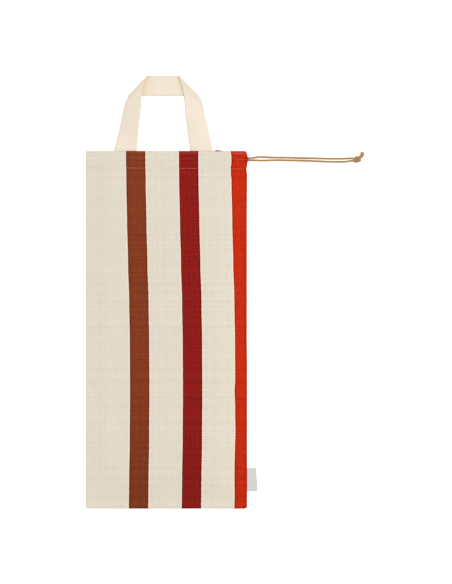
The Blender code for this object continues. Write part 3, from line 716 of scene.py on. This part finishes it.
def linenFinish():
    finish = Finish("striped linen", roughness=0.95, gloss=0.02)
    across, up, mark = finish.weavePlace()
    face, paintedShade = finish.faceAndShade(mark)
    depth = bag["height"] - up

    def bell(distance, half):
        return finish.single("EXPONENT", distance * distance * (-1 / half**2))

    def sloped(pair):  # from the left of the bag to its right
        return across * ((pair[1] - pair[0]) / bag["width"]) + pair[0]

    warp, weft = across / linen["cellAcross"], up / linen["cellUp"]
    warpPair, weftPair = finish.whole(warp), finish.whole(weft)
    warpOver = (warpPair + weftPair) % 2.0
    weftOver = 1 - warpOver

    def upper(ofWarp, ofWeft):  # of whichever thread lies over the other
        return warpOver * ofWarp + weftOver * ofWeft

    dive, gain = linen["crown"]
    warpCrown = finish.wave(warp * 2.0) ** 0.5 * (dive + gain * finish.wave(weft - weftPair))
    weftCrown = finish.wave(weft * 2.0) ** 0.5 * (dive + gain * finish.wave(warp - warpPair))
    crown = upper(warpCrown, weftCrown)
    weftTone = finish.threadTone(finish.whole(weft * 2.0) + face * 57.0 + 400.0)
    threadTone = upper(finish.threadTone(finish.whole(warp * 2.0) + face * 31.0), weftTone)
    alongWarp, alongWeft = linen["slubScale"], linen["slubScale"][::-1]
    slubs = upper(
        finish.clouds(across, up, alongWarp, face), finish.clouds(across, up, alongWeft, face + 8.0),
    )
    patches = finish.clouds(across, up, linen["patchScale"], face + 3.0)
    mottle = finish.clouds(across, up, linen["mottleScale"], face + 5.0, 1.0)
    shadeStreaks = finish.clouds(across, up, linen["shadeStreakScale"], face + 17.0, 1.0)
    place = (across + (weftTone - 0.5) * linen["edgeJitter"]) % linen["repeat"]
    colour = linen["ecru"]
    outward = 1.0  # distance to the nearest stripe's edge, below nought inside it
    for low, high, dye, bends in linen["stripes"]:
        spot = place
        for at, half, out in bends:
            spot = spot - bell(up - at, half) * out
        away = finish.single("ABSOLUTE", spot - (low + high) / 2) - (high - low) / 2
        colour = finish.mix(away < 0.0, colour, dye)
        outward = away.least(outward)
    blue = finish.node("ShaderNodeSeparateColor", {}, {0: colour}, 2)
    dyed = (place > linen["stripes"][0][0]) * (blue < linen["dyedBelow"])
    dyeAndPaintedLight, bare = 0.0, 0.0
    # thinner dye along the lines, and painted shade and highlights along the mouth and the old crease
    for at, half, tones, bares in linen["ridges"]:
        near = bell(depth - sloped(at), half)
        dyeAndPaintedLight = near * sloped(tones) + dyeAndPaintedLight
        bare = near * sloped(bares) + bare
    # ecru mixed in: thinner dye, and part of the painted highlight along the mouth's fold
    colour = finish.mix(bare, colour, linen["ecru"])
    edging = linen["edging"]
    deepEdge = bell(outward + edging["off"], edging["half"]) * edging["deep"]
    paleEdge = bell(outward - edging["off"], edging["half"]) * (outward > 0.0)
    colour = finish.mix(paleEdge * edging["pale"], colour, edging["colour"])
    # painted shade along the stripes' bottom edge
    lowEdgeShade = bell(up - linen["lowEdgeShadeAt"], linen["lowEdgeShadeHalf"]) * linen["lowEdgeShade"]
    # painted shade where the threads dive, and painted sheen on the cells with the warp on top
    tone = 1.0 - linen["grooveShade"] * (1 - crown) + linen["overSheen"] * (warpOver - 0.5)
    tone = tone + linen["threadTone"] * (threadTone - 0.5) + linen["slubs"] * (slubs - 0.5)
    # random patches, and painted shade along the mouth's top edge
    tone = tone + linen["patches"] * (patches - 0.5) - bell(depth, linen["mouthShadeHalf"]) * linen["mouthShade"]
    # the stripes darker towards the bottom of the bag
    deeper = (1 - finish.rising(up, 0.0, linen["deeperBelow"])) * sloped(linen["deeper"])
    # painted shade in the gathers at the casing's open end
    atEnd = (across > linen["gathersFrom"]) * (depth < linen["gathersAbove"])
    dyeAndPaintedLight = dyeAndPaintedLight - atEnd * (shadeStreaks - linen["shadeStreakFrom"]).most(0.0) * linen["gathers"]
    uneven = (mottle - 0.5) * linen["printMottle"] + (slubs - 0.5) * linen["printSlubs"]
    uneven = uneven + (threadTone - 0.5) * linen["printThreads"]
    tone = tone + dyed * (uneven + dyeAndPaintedLight - deeper - lowEdgeShade - deepEdge)
    # painted shade along the right seam darkens the tone
    finish.coloured(colour, tone * (1 - paintedShade * linen["seamShade"]))
    finish.raised(crown * 0.8 + slubs * 0.6, linen["relief"])
    return finish


def puffed(across, up):  # 1 over the middle of the bag, 0 at its fold and sewn edges
    reach, depth = bag["puffReach"], bag["height"] - up
    left = smooth(across / reach)
    bottom = smooth((up - bag["seamAllowance"]) / reach)
    right = smooth((bag["width"] - bag["seamAllowance"] - across) / reach)
    atCasing = smooth((bag["casingSpread"] - depth) / bag["spreadRun"])
    return left * bottom * between(right, 1.0, atCasing)


def foldLift(across, up):
    lift = 0.0
    for start, end, half, height in softFolds:
        run = (Vector(end) - Vector(start)) * mm
        spot = Vector((across, up)) - Vector(start) * mm
        along = min(max(spot.dot(run) / run.length_squared, 0.0), 1.0)
        lift += height * mm * hump((spot - run * along).length, half * mm)
    return lift


def clothNoise(across, up, height, sizeAcross, sizeUp, layer):
    return height * noise.noise(Vector((across / sizeAcross, up / sizeUp, layer)))


def unevenness(across, up):  # long waves, puckers along the stitching, gathers at the cord, fine crumple
    below = bag["height"] - readTable(stitchDrop, across) - up
    fade = exp(-abs(below) / bag["puckerBelow" if below > 0 else "puckerAbove"])
    atEnd = smooth((across - bag["gatherFrom"]) / bag["gatherRun"])
    atEnd *= smooth((up - bag["height"] + bag["gatherDepth"]) / bag["gatherRise"])
    shares = {"waves": 1.0, "puckers": fade, "gathers": atEnd, "crumple": 1.0}
    return sum(share * clothNoise(across, up, *bag[name]) for name, share in shares.items())


def ceiling(across, up):  # height of the front sheet's outer face, without the cord's ridge
    depth = bag["height"] - up
    puff = puffed(across, up)
    edge = between(bag["foldThickness"], 4 * bag["cloth"], smooth(across / bag["width"]))
    lump = hump(bag["width"] - across, bag["lumpAcross"]) * hump(up - bag["lumpUp"], bag["lumpAlong"])
    doubled = smooth((hem["depth"] - depth) / hem["step"] + 0.5)
    raisedHem = doubled * (hem["lift"] + 2 * bag["cloth"] * (1 - smooth(across / bag["puffReach"])))
    below = depth - readTable(stitchDrop, across)
    under = smooth(below / hem["underRun"]) * (1 - smooth((below - hem["underFrom"]) / hem["underBack"]))
    groove = hem["groove"] * hump(below, hem["grooveWidth"]) + hem["under"] * under * puff
    inward = min(up, bag["width"] - across)
    step = bag["allowanceStep"] * smooth((bag["seamAllowance"] - inward) / bag["allowanceSoft"])
    soft = puff * (foldLift(across, up) + unevenness(across, up))
    rounding = bag["mouthDrop"] * (1 - smooth(depth / bag["mouthRun"]))
    atEnd = smooth((across - bag["endFrom"]) / bag["endSoft"])
    rounding += bag["endDrop"] * (1 - smooth(depth / bag["endRun"])) * atEnd
    height = between(edge, bag["puff"], puff) + bag["labelLump"] * lump + raisedHem
    return height - groove + soft + step - rounding


def outsideHeight(across, up):
    depth = bag["height"] - up
    height = ceiling(across, up)
    for rise, half, path in casingCords:
        height += rise * hump(depth - readTable(path, across), half)
    atEnd = hump(bag["width"] - across, hem["endAcross"]) * hump(depth - hem["cordDepth"], hem["endAlong"])
    return between(height, hem["endThickness"], atEnd)


def layers(up):
    return bag["cloth"] * (2 if bag["height"] - up <= hem["depth"] else 1)


def cornerInset(up, radius):
    rise = min(up - bag["lowEdge"], radius)
    return radius - sqrt(radius**2 - (radius - rise) ** 2)


def rightEdge(up):
    out = readTable(rightEdgeOut, bag["height"] - up)
    return bag["width"] + bag["fuller"] + out - cornerInset(up, bag["cornerRight"])


def drawnUp(across, up, side):  # the back sheet stands over the front one near the right end of the mouth
    rise = {"back": bag["backPeek"], "front": -bag["frontDip"]}.get(side, 0.0)
    nearMouth = smooth((up - bag["height"]) / bag["peekRun"] + 1)
    return rise * nearMouth * hump(across - bag["peekAt"], bag["peekHalf"])


def seamProfile(step):  # two rounded lips with the seam between them
    share = step / (bag["edgeSteps"] + 1)
    lips = abs(sin(tau * share)) ** 0.5
    return bag["rounding"] * max(lips, bag["lipDip"] * sin(pi * share)), share


def foldProfile(step, depth):
    angle = pi * step / (bag["edgeSteps"] + 1)
    return depth * sin(angle), (1 - cos(angle)) / 2


def clothSpot(across, up):  # the cloth's own coordinates, without the stripes' bow
    bow = readTable(stripeBow, up) * smooth(across / bag["bowRun"])
    drawn = sum(far * hump(bag["height"] - up - depth, half) for far, depth, half in bag["drawnIn"])
    return (across - bow + drawn * smooth((across - bag["drawnFrom"]) / bag["drawnRun"]), up, 0.0)


sheetLevels = {"back": 0.0, "front": 1.0}


def outerPoint(share, up, side, step):
    low = cornerInset(up, bag["cornerLeft"]) + bag["leftRadius"] - bag["fuller"]
    across = between(low, rightEdge(up) - bag["rounding"], share)
    height, rise = outsideHeight(across, up), drawnUp(across, up, side)
    first, second, paintedShade = clothSpot(across, up)
    if side in sheetLevels:
        level = sheetLevels[side]
        # painted shade in a band just inside the right seam
        paintedShade = paintedShadeMark["deepest"] * hump(rightEdge(up) - across - linen["seamIn"], linen["seamHalf"])
    elif side == "left":
        out, level = foldProfile(step, bag["leftRadius"])
        across -= out
        first *= abs(2 * level - 1)
    else:
        out, level = seamProfile(step)
        wrap = bag["lipCloth"] * height * min(level, 1 - level)
        if side == "right":
            across += out
            first += wrap
        else:
            up -= out
            second -= wrap
    return onBag(across, up + rise, level * height), (first, second, paintedShade)


def innerPoint(share, up, side, step):
    low = cornerInset(up, bag["cornerLeft"]) + layers(up) + bag["leftRadius"]
    high = bag["width"] - bag["seamAllowance"] - bag["rounding"]
    across = between(low, high, share)
    bottom, top = layers(up), ceiling(across, up) - layers(up)
    rise = drawnUp(across, up, side)
    spot = clothSpot(across, up)
    level = sheetLevels.get(side)
    if level is None:
        out, level = foldProfile(step, bag["rounding"])
        across += {"left": -out, "right": out, "bottom": 0.0}[side]
        up -= out if side == "bottom" else 0.0
    return onBag(across, up + rise, between(bottom, top, level)), spot


def spread(*stops):  # values from stop to stop, each stretch in steps of about its own size
    values = [stops[0][0]]
    for (low, step), (high, _) in zip(stops, stops[1:]):
        count = max(1, round((high - low) / step))
        values += [between(low, high, (k + 1) / count) for k in range(count)]
    return values


clothColumns = spread((0.0, 0.005), (0.05, 0.0105), (0.93, 0.005), (1.0, 0))
outerRows = spread(
    (0.0023, 0.0012), (0.016, 0.003), (0.178, 0.0017), (0.212, 0.004), (0.56, 0.0022), (0.586, 0.0008),
    (0.6, 0.0009), (0.6222, 0),
)
innerRows = spread((0.0133, 0.008), (0.56, 0.004), (0.592, 0.0005), (0.5935, 0.0035), (0.6222, 0))


def pouch(skin, rows, place, face):  # a tube of rings up the bag, closed at its lowest row
    columns = clothColumns
    steps = range(1, bag["edgeSteps"] + 1)
    last = len(columns) - 1
    rings = []
    for up in rows:
        ring = [place(c, up, "back", 0) for c in reversed(columns)]
        ring += [place(columns[0], up, "left", k) for k in steps]
        ring += [place(c, up, "front", 0) for c in columns]
        ring += [place(columns[-1], up, "right", bag["edgeSteps"] + 1 - k) for k in steps]
        rings.append([skin.point(*spot) for spot in ring])
    half = (bag["edgeSteps"] + 1) // 2
    front, back = (1, face), (-1, face + 1)
    marks = [back] * (last + half) + [front] * (last + 2 * half) + [back] * half
    skin.bridge(rings, marks, ends=False)
    first = rings[0]
    turn = last + 1 + bag["edgeSteps"]
    backRow, leftEdge = first[: last + 1][::-1], first[last + 1 : turn]
    frontRow, rightSide = first[turn : turn + last + 1], first[turn + last + 1 :][::-1]
    strips = [[backRow[0], *leftEdge, frontRow[0]]]
    for i in range(1, last):
        middle = [skin.point(*place(columns[i], rows[0], "bottom", k)) for k in steps]
        strips.append([backRow[i], *middle, frontRow[i]])
    strips.append([backRow[last], *rightSide, frontRow[last]])
    for one, other in zip(strips, strips[1:]):
        for k in range(bag["edgeSteps"] + 1):
            skin.face((one[k], one[k + 1], other[k + 1], other[k]), back if k < half else front)
    return rings[-1], marks


def mouthEdge(skin, outside, inside, marks):  # the round fold over the top of the casing
    rings = [outside]
    for k in range(1, bag["mouthSteps"]):
        angle = pi * k / bag["mouthSteps"]
        share = (1 - cos(angle)) / 2
        bulge = Vector((0, (bag["height"] - outerRows[-1]) * sin(angle), 0))
        rings.append([
            skin.point(
                skin.points[a].lerp(skin.points[b], share) + bulge,
                Vector(skin.spots[a]).lerp(Vector(skin.spots[b]), share) + bulge * bag["mouthCloth"],
            ) for a, b in zip(outside, inside)
        ])
    skin.bridge([*rings, inside], marks, ends=False)


cutting = {"play": 0.0003, "past": 0.008, "clothIn": 0.004, "sides": 24}


def cutShape(name, finish, near, outline, up):  # to take out of the cloth, from inside the seam to past it
    skin = Skin()
    spot = (bag["width"] - cutting["clothIn"], up, 0.0)
    skin.bridge([
        [skin.point(onBag(across, *place), spot) for place in outline]
        for across in (bag["width"] - near, bag["width"] + cutting["past"])
    ])
    return skin.toObject(name, finish)


def casingEnd(finish):  # the open end of the casing, where both strands come out
    radius = cord["diameter"] / 2 + cutting["play"]
    high, low = (Vector(route[0][1:]) * mm for route in (upperRoute, lowerRoute))
    outline = []
    for k in range(cutting["sides"]):
        angle = tau * (k + 0.5) / cutting["sides"]
        ray = Vector((cos(angle), sin(angle)))
        rise, height = (high if ray.dot(high - low) > 0 else low) + ray * radius
        outline.append((bag["height"] - hem["cordDepth"] + rise, height))
    return cutShape("casingEnd", finish, hem["mouthDepth"], outline, 0.6)


def labelSlit(finish):  # the slit in the seam that holds the label
    half = label["layer"] + label["gap"] / 2 + cutting["play"]
    outline = []
    for side, level in square:
        up = label["low"] + label["width"] / 2 * (1 + side) + cutting["play"] * side
        outline.append((up, label["middle"] + half * level))
    return cutShape("labelSlit", finish, label["tuck"] + cutting["play"], outline, 0.05)


def carve(piece, cutters):
    for cutter in cutters:
        cut = piece.modifiers.new(cutter.name, "BOOLEAN")
        cut.operation = "DIFFERENCE"
        cut.object = cutter
    graph = bpy.context.evaluated_depsgraph_get()
    piece.data = bpy.data.meshes.new_from_object(piece.evaluated_get(graph))
    piece.modifiers.clear()
    for cutter in cutters:
        bpy.data.objects.remove(cutter)


def makeBag():
    finish = linenFinish()
    skin = Skin()
    outside, marks = pouch(skin, outerRows, outerPoint, 0)
    inside = pouch(skin, innerRows, innerPoint, 2)[0]
    mouthEdge(skin, outside, inside, marks)
    cloth = skin.toObject("bagLinen", finish)
    carve(cloth, [casingEnd(finish), labelSlit(finish)])
    settle(cloth, "linen_cloth", "bag_cloth")
    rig.sheet(cloth, flat=(0.584, 0.673), held="folded")
    print("bag cloth made:", len(cloth.data.polygons), "faces")


# Stitching that holds the casing down, on the outer face of each sheet

stitch = {
    "length": 0.0031, "every": 0.0041, "radius": 0.00019, "flat": 0.9, "sides": 6,
    "from": 0.004, "to": 0.2785, "wander": 0.00015, "thread": (0.78, 0.7, 0.58), "dyed": 0.56,
    "ply": 0.0007, "plyRound": 0.0016, "tone": 0.84, "plyTone": 0.2, "relief": 0.0001,
    # Share of the length, thickness there and lift, by which the ends on top dive
    "shape": [
        (0, 0.5, -1.1), (0.1, 0.9, -0.2), (0.3, 1, 0.15), (0.5, 1, 0.2), (0.7, 1, 0.15), (0.9, 0.9, -0.2),
        (1, 0.5, -1.1),
    ],
}


def threadFinish():
    finish = Finish("sewing thread", roughness=0.7)
    along, around, across = finish.weavePlace()
    ply = finish.wave(along / stitch["ply"] + around / stitch["plyRound"])
    colour = stitch["thread"]
    for low, high, dye, _ in linen["stripes"]:
        bright = [part * stitch["thread"][0] / dye[0] for part in dye]
        colour = finish.mix((across > low) * (across < high) * stitch["dyed"], colour, bright)
    finish.coloured(colour, stitch["tone"] + ply * stitch["plyTone"])
    finish.raised(ply, stitch["relief"])
    return finish


def stitchTube(skin, start, end, place):  # one stitch: a flat tube
    side, up = sideAndUp((end - start).normalized())
    side, up = side * stitch["radius"], up * stitch["radius"]
    skin.bridge([
        skin.ring(
            start.lerp(end, share) + up * lift, side * thick, up * thick * stitch["flat"], stitch["sides"],
            share * stitch["length"], 0.00025, place,
        ) for share, thick, lift in stitch["shape"]
    ])


def makeStitches():
    finish = threadFinish()
    skin = Skin()
    count = int((stitch["to"] - stitch["from"]) / stitch["every"])
    for k in range(count):
        start = stitch["from"] + k * stitch["every"]
        wander = stitch["wander"] * noise.noise(Vector((k * 0.37, 2.5, 0.0)))
        above, below = [], []
        for across in (start, start + stitch["length"]):
            up = bag["height"] - readTable(stitchDrop, across) + wander
            above.append(onBag(across, up, outsideHeight(across, up)))
            below.append(onBag(across, up, 0.0))
        for ends in (above, below[::-1]):
            stitchTube(skin, *ends, start + stitch["length"] / 2)
    settle(skin.toObject("hemStitches", finish), "linen_cloth")
    print("stitches made:", 2 * count)


# Handle: one webbing strip, up from inside the mouth, turned over in two soft diagonal folds

webbing = {
    "thickness": 0.002, "width": 0.038, "foldRadius": 0.0016, "foldSteps": 16,
    "cornerSharpness": 0.62, "tipSharpness": 0.75, "rowSteps": 9, "topSteps": 24, "topBow": 0.0009,
    "cupping": 0.0012, "acrossSteps": 18, "selvedge": 0.07, "selvedgeSteps": 4, "taller": 1.01,
    "unevenness": (0.00016, 2 / 3, 0.03, 4.0),
    "pitch": 0.00125, "pick": 0.00105, "relief": 0.00028, "cotton": (0.866, 0.76, 0.63),
    "fibreScale": (1500, 260), "patchScale": (60, 40), "borderAt": (0.0158, 0.0184),
    "tone": 0.9, "threadTone": 0.015, "cordTone": 0.03, "pickTone": 0.04, "borderShade": 0.07,
    "fibreTone": 0.12, "patchTone": 0.05,
    # The painted shade's tone where the legs' edges cross the top strip, and its strength at the left and the right
    "creaseShadeTone": (0.85, 0.7, 0.485), "creaseHalf": 0.006, "creaseShadeStrengths": (1.0, 0.85),
}
leftLeg = [  # millimetres across the bag, above its mouth, and up, at the strip's outer and inner border
    ((48.1, -21.7, 3.3), (86.4, -21.7, 3.3)),
    ((49.4, 1, 4.9), (88.3, 1, 5.2)),
    ((53.4, 19.2, 3.4), (89.9, 19.2, 6.4)),
    ((58.6, 40.1, 2.3), (92, 40.1, 10.5)),
    ((62.7, 61, 2.2), (94.9, 63.6, 12.8)),
    ((64.9, 71.4, 2.2), (96.9, 83.6, 13.2)),
    ((67.3, 81.9, 2), (97, 102.7, 13.6)),
    ((70.8, 87.8, 2.7), (99.8, 118.2, 12)),
    ((73.2, 93.2, 4.3), (108.4, 129.4, 7.8)),
]
rightLeg = [
    ((222.2, -21.7, 3.3), (183.5, -21.7, 3.3)),
    ((220.6, 1, 4.9), (181.7, 1, 5.1)),
    ((216.7, 19.2, 3.4), (178.9, 19.2, 5.4)),
    ((212.2, 40.1, 2), (175.9, 40.1, 7.5)),
    ((207.2, 61, 2.8), (173.2, 63.6, 9.5)),
    ((205.3, 71.4, 3.6), (171.3, 83.6, 6)),
    ((202.8, 81.9, 4), (168.6, 102.7, 3.3)),
    ((200.2, 88.6, 4.3), (164.2, 118.4, 3.3)),
    ((197.1, 93.5, 4.4), (160.2, 129.3, 4.2)),
]
legCount = (len(leftLeg) - 1) * webbing["rowSteps"]  # sections from a leg's end to its fold


def webbingFinish():
    finish = Finish("cotton webbing", roughness=0.95, gloss=0.05)
    across, along, mark = finish.weavePlace()
    face, paintedShade = finish.faceAndShade(mark)
    # painted shade: the cotton tinted tan where the legs' edges cross the top strip
    cotton = finish.mix(paintedShade, webbing["cotton"], webbing["creaseShadeTone"])
    warp, pick = across / webbing["pitch"], along / webbing["pick"]
    cords = finish.wave(warp) ** 0.5
    crossed = finish.wave(pick + finish.whole(warp) * 0.5)
    tones = finish.threadTone(finish.whole(warp) + face * 17.0)
    fibres = finish.clouds(across, along, webbing["fibreScale"], face, 3.0)
    patches = finish.clouds(across, along, webbing["patchScale"], face + 2.0)
    # painted shade: the strip darker towards both borders
    border = finish.rising(finish.single("ABSOLUTE", across), *webbing["borderAt"])
    tone = webbing["tone"] + tones * webbing["threadTone"] + cords * webbing["cordTone"]
    tone = tone + crossed * webbing["pickTone"] - border * webbing["borderShade"]
    tone = tone + (fibres - 0.5) * webbing["fibreTone"] + (patches - 0.5) * webbing["patchTone"]
    finish.coloured(cotton, tone)
    finish.raised(cords * 0.6 + crossed * 0.4 + fibres * 0.5, webbing["relief"])
    return finish


def legSections(leg):
    def place(border, share):
        across, rise, height = curveThrough(border, share) * mm
        return onBag(across, bag["height"] + rise * webbing["taller"], height)

    return [[place(border, k / legCount) for border in zip(*leg)] for k in range(legCount + 1)]


def foldSections(outer, inner):
    crease = (inner - outer).normalized()
    out = Vector((-crease.y, crease.x, 0))
    if out.y < 0:
        out = -out
    pairs = []
    for k in range(1, webbing["foldSteps"] + 1):
        angle = pi * k / webbing["foldSteps"]
        bulge = out * webbing["foldRadius"] * sin(angle)
        drop = Vector((0, 0, webbing["foldRadius"] * (1 - cos(angle))))
        tip = outer + bulge * webbing["tipSharpness"] - drop
        pairs.append([tip, inner + bulge * webbing["cornerSharpness"] - drop])
    return pairs


def handleSections():
    left, right = legSections(leftLeg), legSections(rightLeg)
    downLeft, downRight = foldSections(*left[-1]), foldSections(*right[-1])
    pairs = left + downLeft
    for k in range(1, webbing["topSteps"]):
        share = k / webbing["topSteps"]
        bow = Vector((0, webbing["topBow"] * (1 - (2 * share - 1) ** 4), 0))
        pairs.append([a.lerp(b, share) + bow for a, b in zip(downLeft[-1], downRight[-1])])
    return pairs + downRight[::-1] + right[::-1]


def webbingProfile():  # shares across the strip, with the share of its thickness there
    edge, steps = webbing["selvedge"], webbing["selvedgeSteps"]
    half = [(edge * (1 - cos(pi / 2 * k / steps)), sin(pi / 2 * k / steps)) for k in range(steps)]
    inner = webbing["acrossSteps"] - 2 * steps
    middle = [(between(edge, 1 - edge, k / inner), 1.0) for k in range(inner + 1)]
    return half + middle + [(1 - share, thick) for share, thick in half[::-1]]


def handleRows(pairs, profile):  # the middle of the strip's thickness, row by row, and the run to each row
    middle, run = [], [0.0]
    for i, (outer, inner) in enumerate(pairs):
        upLeg = min(i, len(pairs) - 1 - i) / legCount
        cup = webbing["cupping"] * sin(pi * upLeg) if upLeg < 1 else 0.0
        if i:
            before, here = ((a + b) / 2 for a, b in (pairs[i - 1], pairs[i]))
            run.append(run[-1] + (here - before).length)
        row = []
        for share, _ in profile:
            lift = cup * 4 * share * (1 - share) + clothNoise(share, run[-1], *webbing["unevenness"])
            row.append(outer.lerp(inner, share) + Vector((0, 0, lift)))
        middle.append(row)
    return middle, run


def creaseShadeAt(place, pairs):  # strength of the painted shade where the top strip bends over a leg's inner edge
    return max(
        strength * hump(min((place.xy - inner.xy).length for _, inner in leg), webbing["creaseHalf"])
        for strength, leg in zip(webbing["creaseShadeStrengths"], (pairs[:legCount], pairs[-legCount:]))
    )


def makeHandle():
    finish = webbingFinish()
    pairs, profile = handleSections(), webbingProfile()
    middle, run = handleRows(pairs, profile)
    last, end = len(middle) - 1, len(profile) - 1
    skin = Skin()
    rings = []
    for i, row in enumerate(middle):
        top, under = [], []
        for k, (place, (share, thick)) in enumerate(zip(row, profile)):
            along = middle[min(i + 1, last)][k] - middle[max(i - 1, 0)][k]
            across = row[min(k + 1, end)] - row[max(k - 1, 0)]
            normal = along.cross(across).normalized() * webbing["thickness"] / 2 * thick
            # painted shade where the top strip passes under a leg's inner edge
            crease = creaseShadeAt(place, pairs) if legCount < i < last - legCount else 0.0
            spot = ((share - 0.5) * webbing["width"], run[i], paintedShadeMark["deepest"] * crease)
            top.append(skin.point(place + normal, spot))
            if 0 < k < end:
                under.append(skin.point(place - normal, spot))
        rings.append(top + under[::-1])
    skin.bridge(rings, [(1, 0)] * end + [(1, 1)] * end)
    strip = skin.toObject("handleWebbing", finish)
    settle(strip, "cotton_webbing", "handle_webbing")
    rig.sheet(strip, flat=(webbing["width"], round(run[-1], 3)), held="folded")
    print("handle made:", len(rings), "sections,", round(run[-1], 4), "long")


# Side label: a plain tape folded into the right seam

label = {
    "low": 0.0315, "width": 0.04, "reach": 0.0189, "narrowing": 0.0025, "tuck": 0.004,
    "layer": 0.001, "gap": 0.0004, "middle": 0.0025, "faceSteps": 22, "turnSteps": 9, "sections": 30,
    "settling": (-0.15, 1.1),  # from its height in the seam to the surface, in shares of the reach
    "unevenness": (0.00012, 0.006, 0.012, 2.0),
    "tape": (0.64, 0.634, 0.6), "selvedge": 0.0013, "pitch": 0.00045, "grainScale": (900, 900),
    "tone": 0.93, "ribTone": 0.06, "grainTone": 0.08, "edgeTone": 0.1, "relief": 0.00012,
}


def labelFinish():
    finish = Finish("label tape", roughness=0.6, gloss=0.25)
    along, across, face = finish.weavePlace()
    ribs, picks = finish.wave(across / label["pitch"]), finish.wave(along / label["pitch"])
    selvedge = across.least(label["width"] - across) < label["selvedge"]
    grain = finish.clouds(along, across, label["grainScale"], face)
    tone = label["tone"] + ribs * label["ribTone"] + grain * label["grainTone"]
    finish.coloured(label["tape"], tone - selvedge * label["edgeTone"])
    finish.raised(ribs + picks * 0.4 + grain, label["relief"])
    return finish


def labelSection(reach):
    half = label["layer"] + label["gap"] / 2

    def sheetSide(offset):
        places = []
        for k in range(label["faceSteps"] + 1):
            share = k / label["faceSteps"]
            middle = between(label["middle"], half, smooth(between(*label["settling"], share)))
            places.append((between(-label["tuck"], reach - half, share), middle + offset))
        return places

    turn = []
    for k in range(1, label["turnSteps"]):
        angle = pi * k / label["turnSteps"]
        turn.append((reach - half + half * sin(angle), half - half * cos(angle)))
    inside = sheetSide(label["gap"] / 2) + sheetSide(-label["gap"] / 2)[::-1]
    return sheetSide(-half) + turn + sheetSide(half)[::-1] + inside


def makeLabel():
    finish = labelFinish()
    skin = Skin()
    rings = []
    for k in range(label["sections"] + 1):
        share = k / label["sections"]
        across = label["width"] * share
        run, ring = 0.0, []
        section = labelSection(label["reach"] - label["narrowing"] * share)
        for i, (out, height) in enumerate(section):
            if i:
                run += dist(section[i - 1], section[i])
            height = max(height + clothNoise(out, across, *label["unevenness"]), 0.0)
            place = onBag(bag["width"] + out, label["low"] + across, height)
            ring.append(skin.point(place, (run, across, 0.0)))
        rings.append(ring)
    skin.bridge(rings)
    tape = skin.toObject("sideLabel", finish)
    settle(tape, "label_tape", "side_label")
    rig.sheet(tape, flat=(0.040, 0.045), held="folded")
    print("label made")


makeCamera()
makeStudio()
makeCords()
makeBag()
makeStitches()
makeHandle()
makeLabel()
with open("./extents.json", "w") as file:
    json.dump({"cad": cadBox, "visual": [list(corner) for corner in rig.bounds()]}, file)
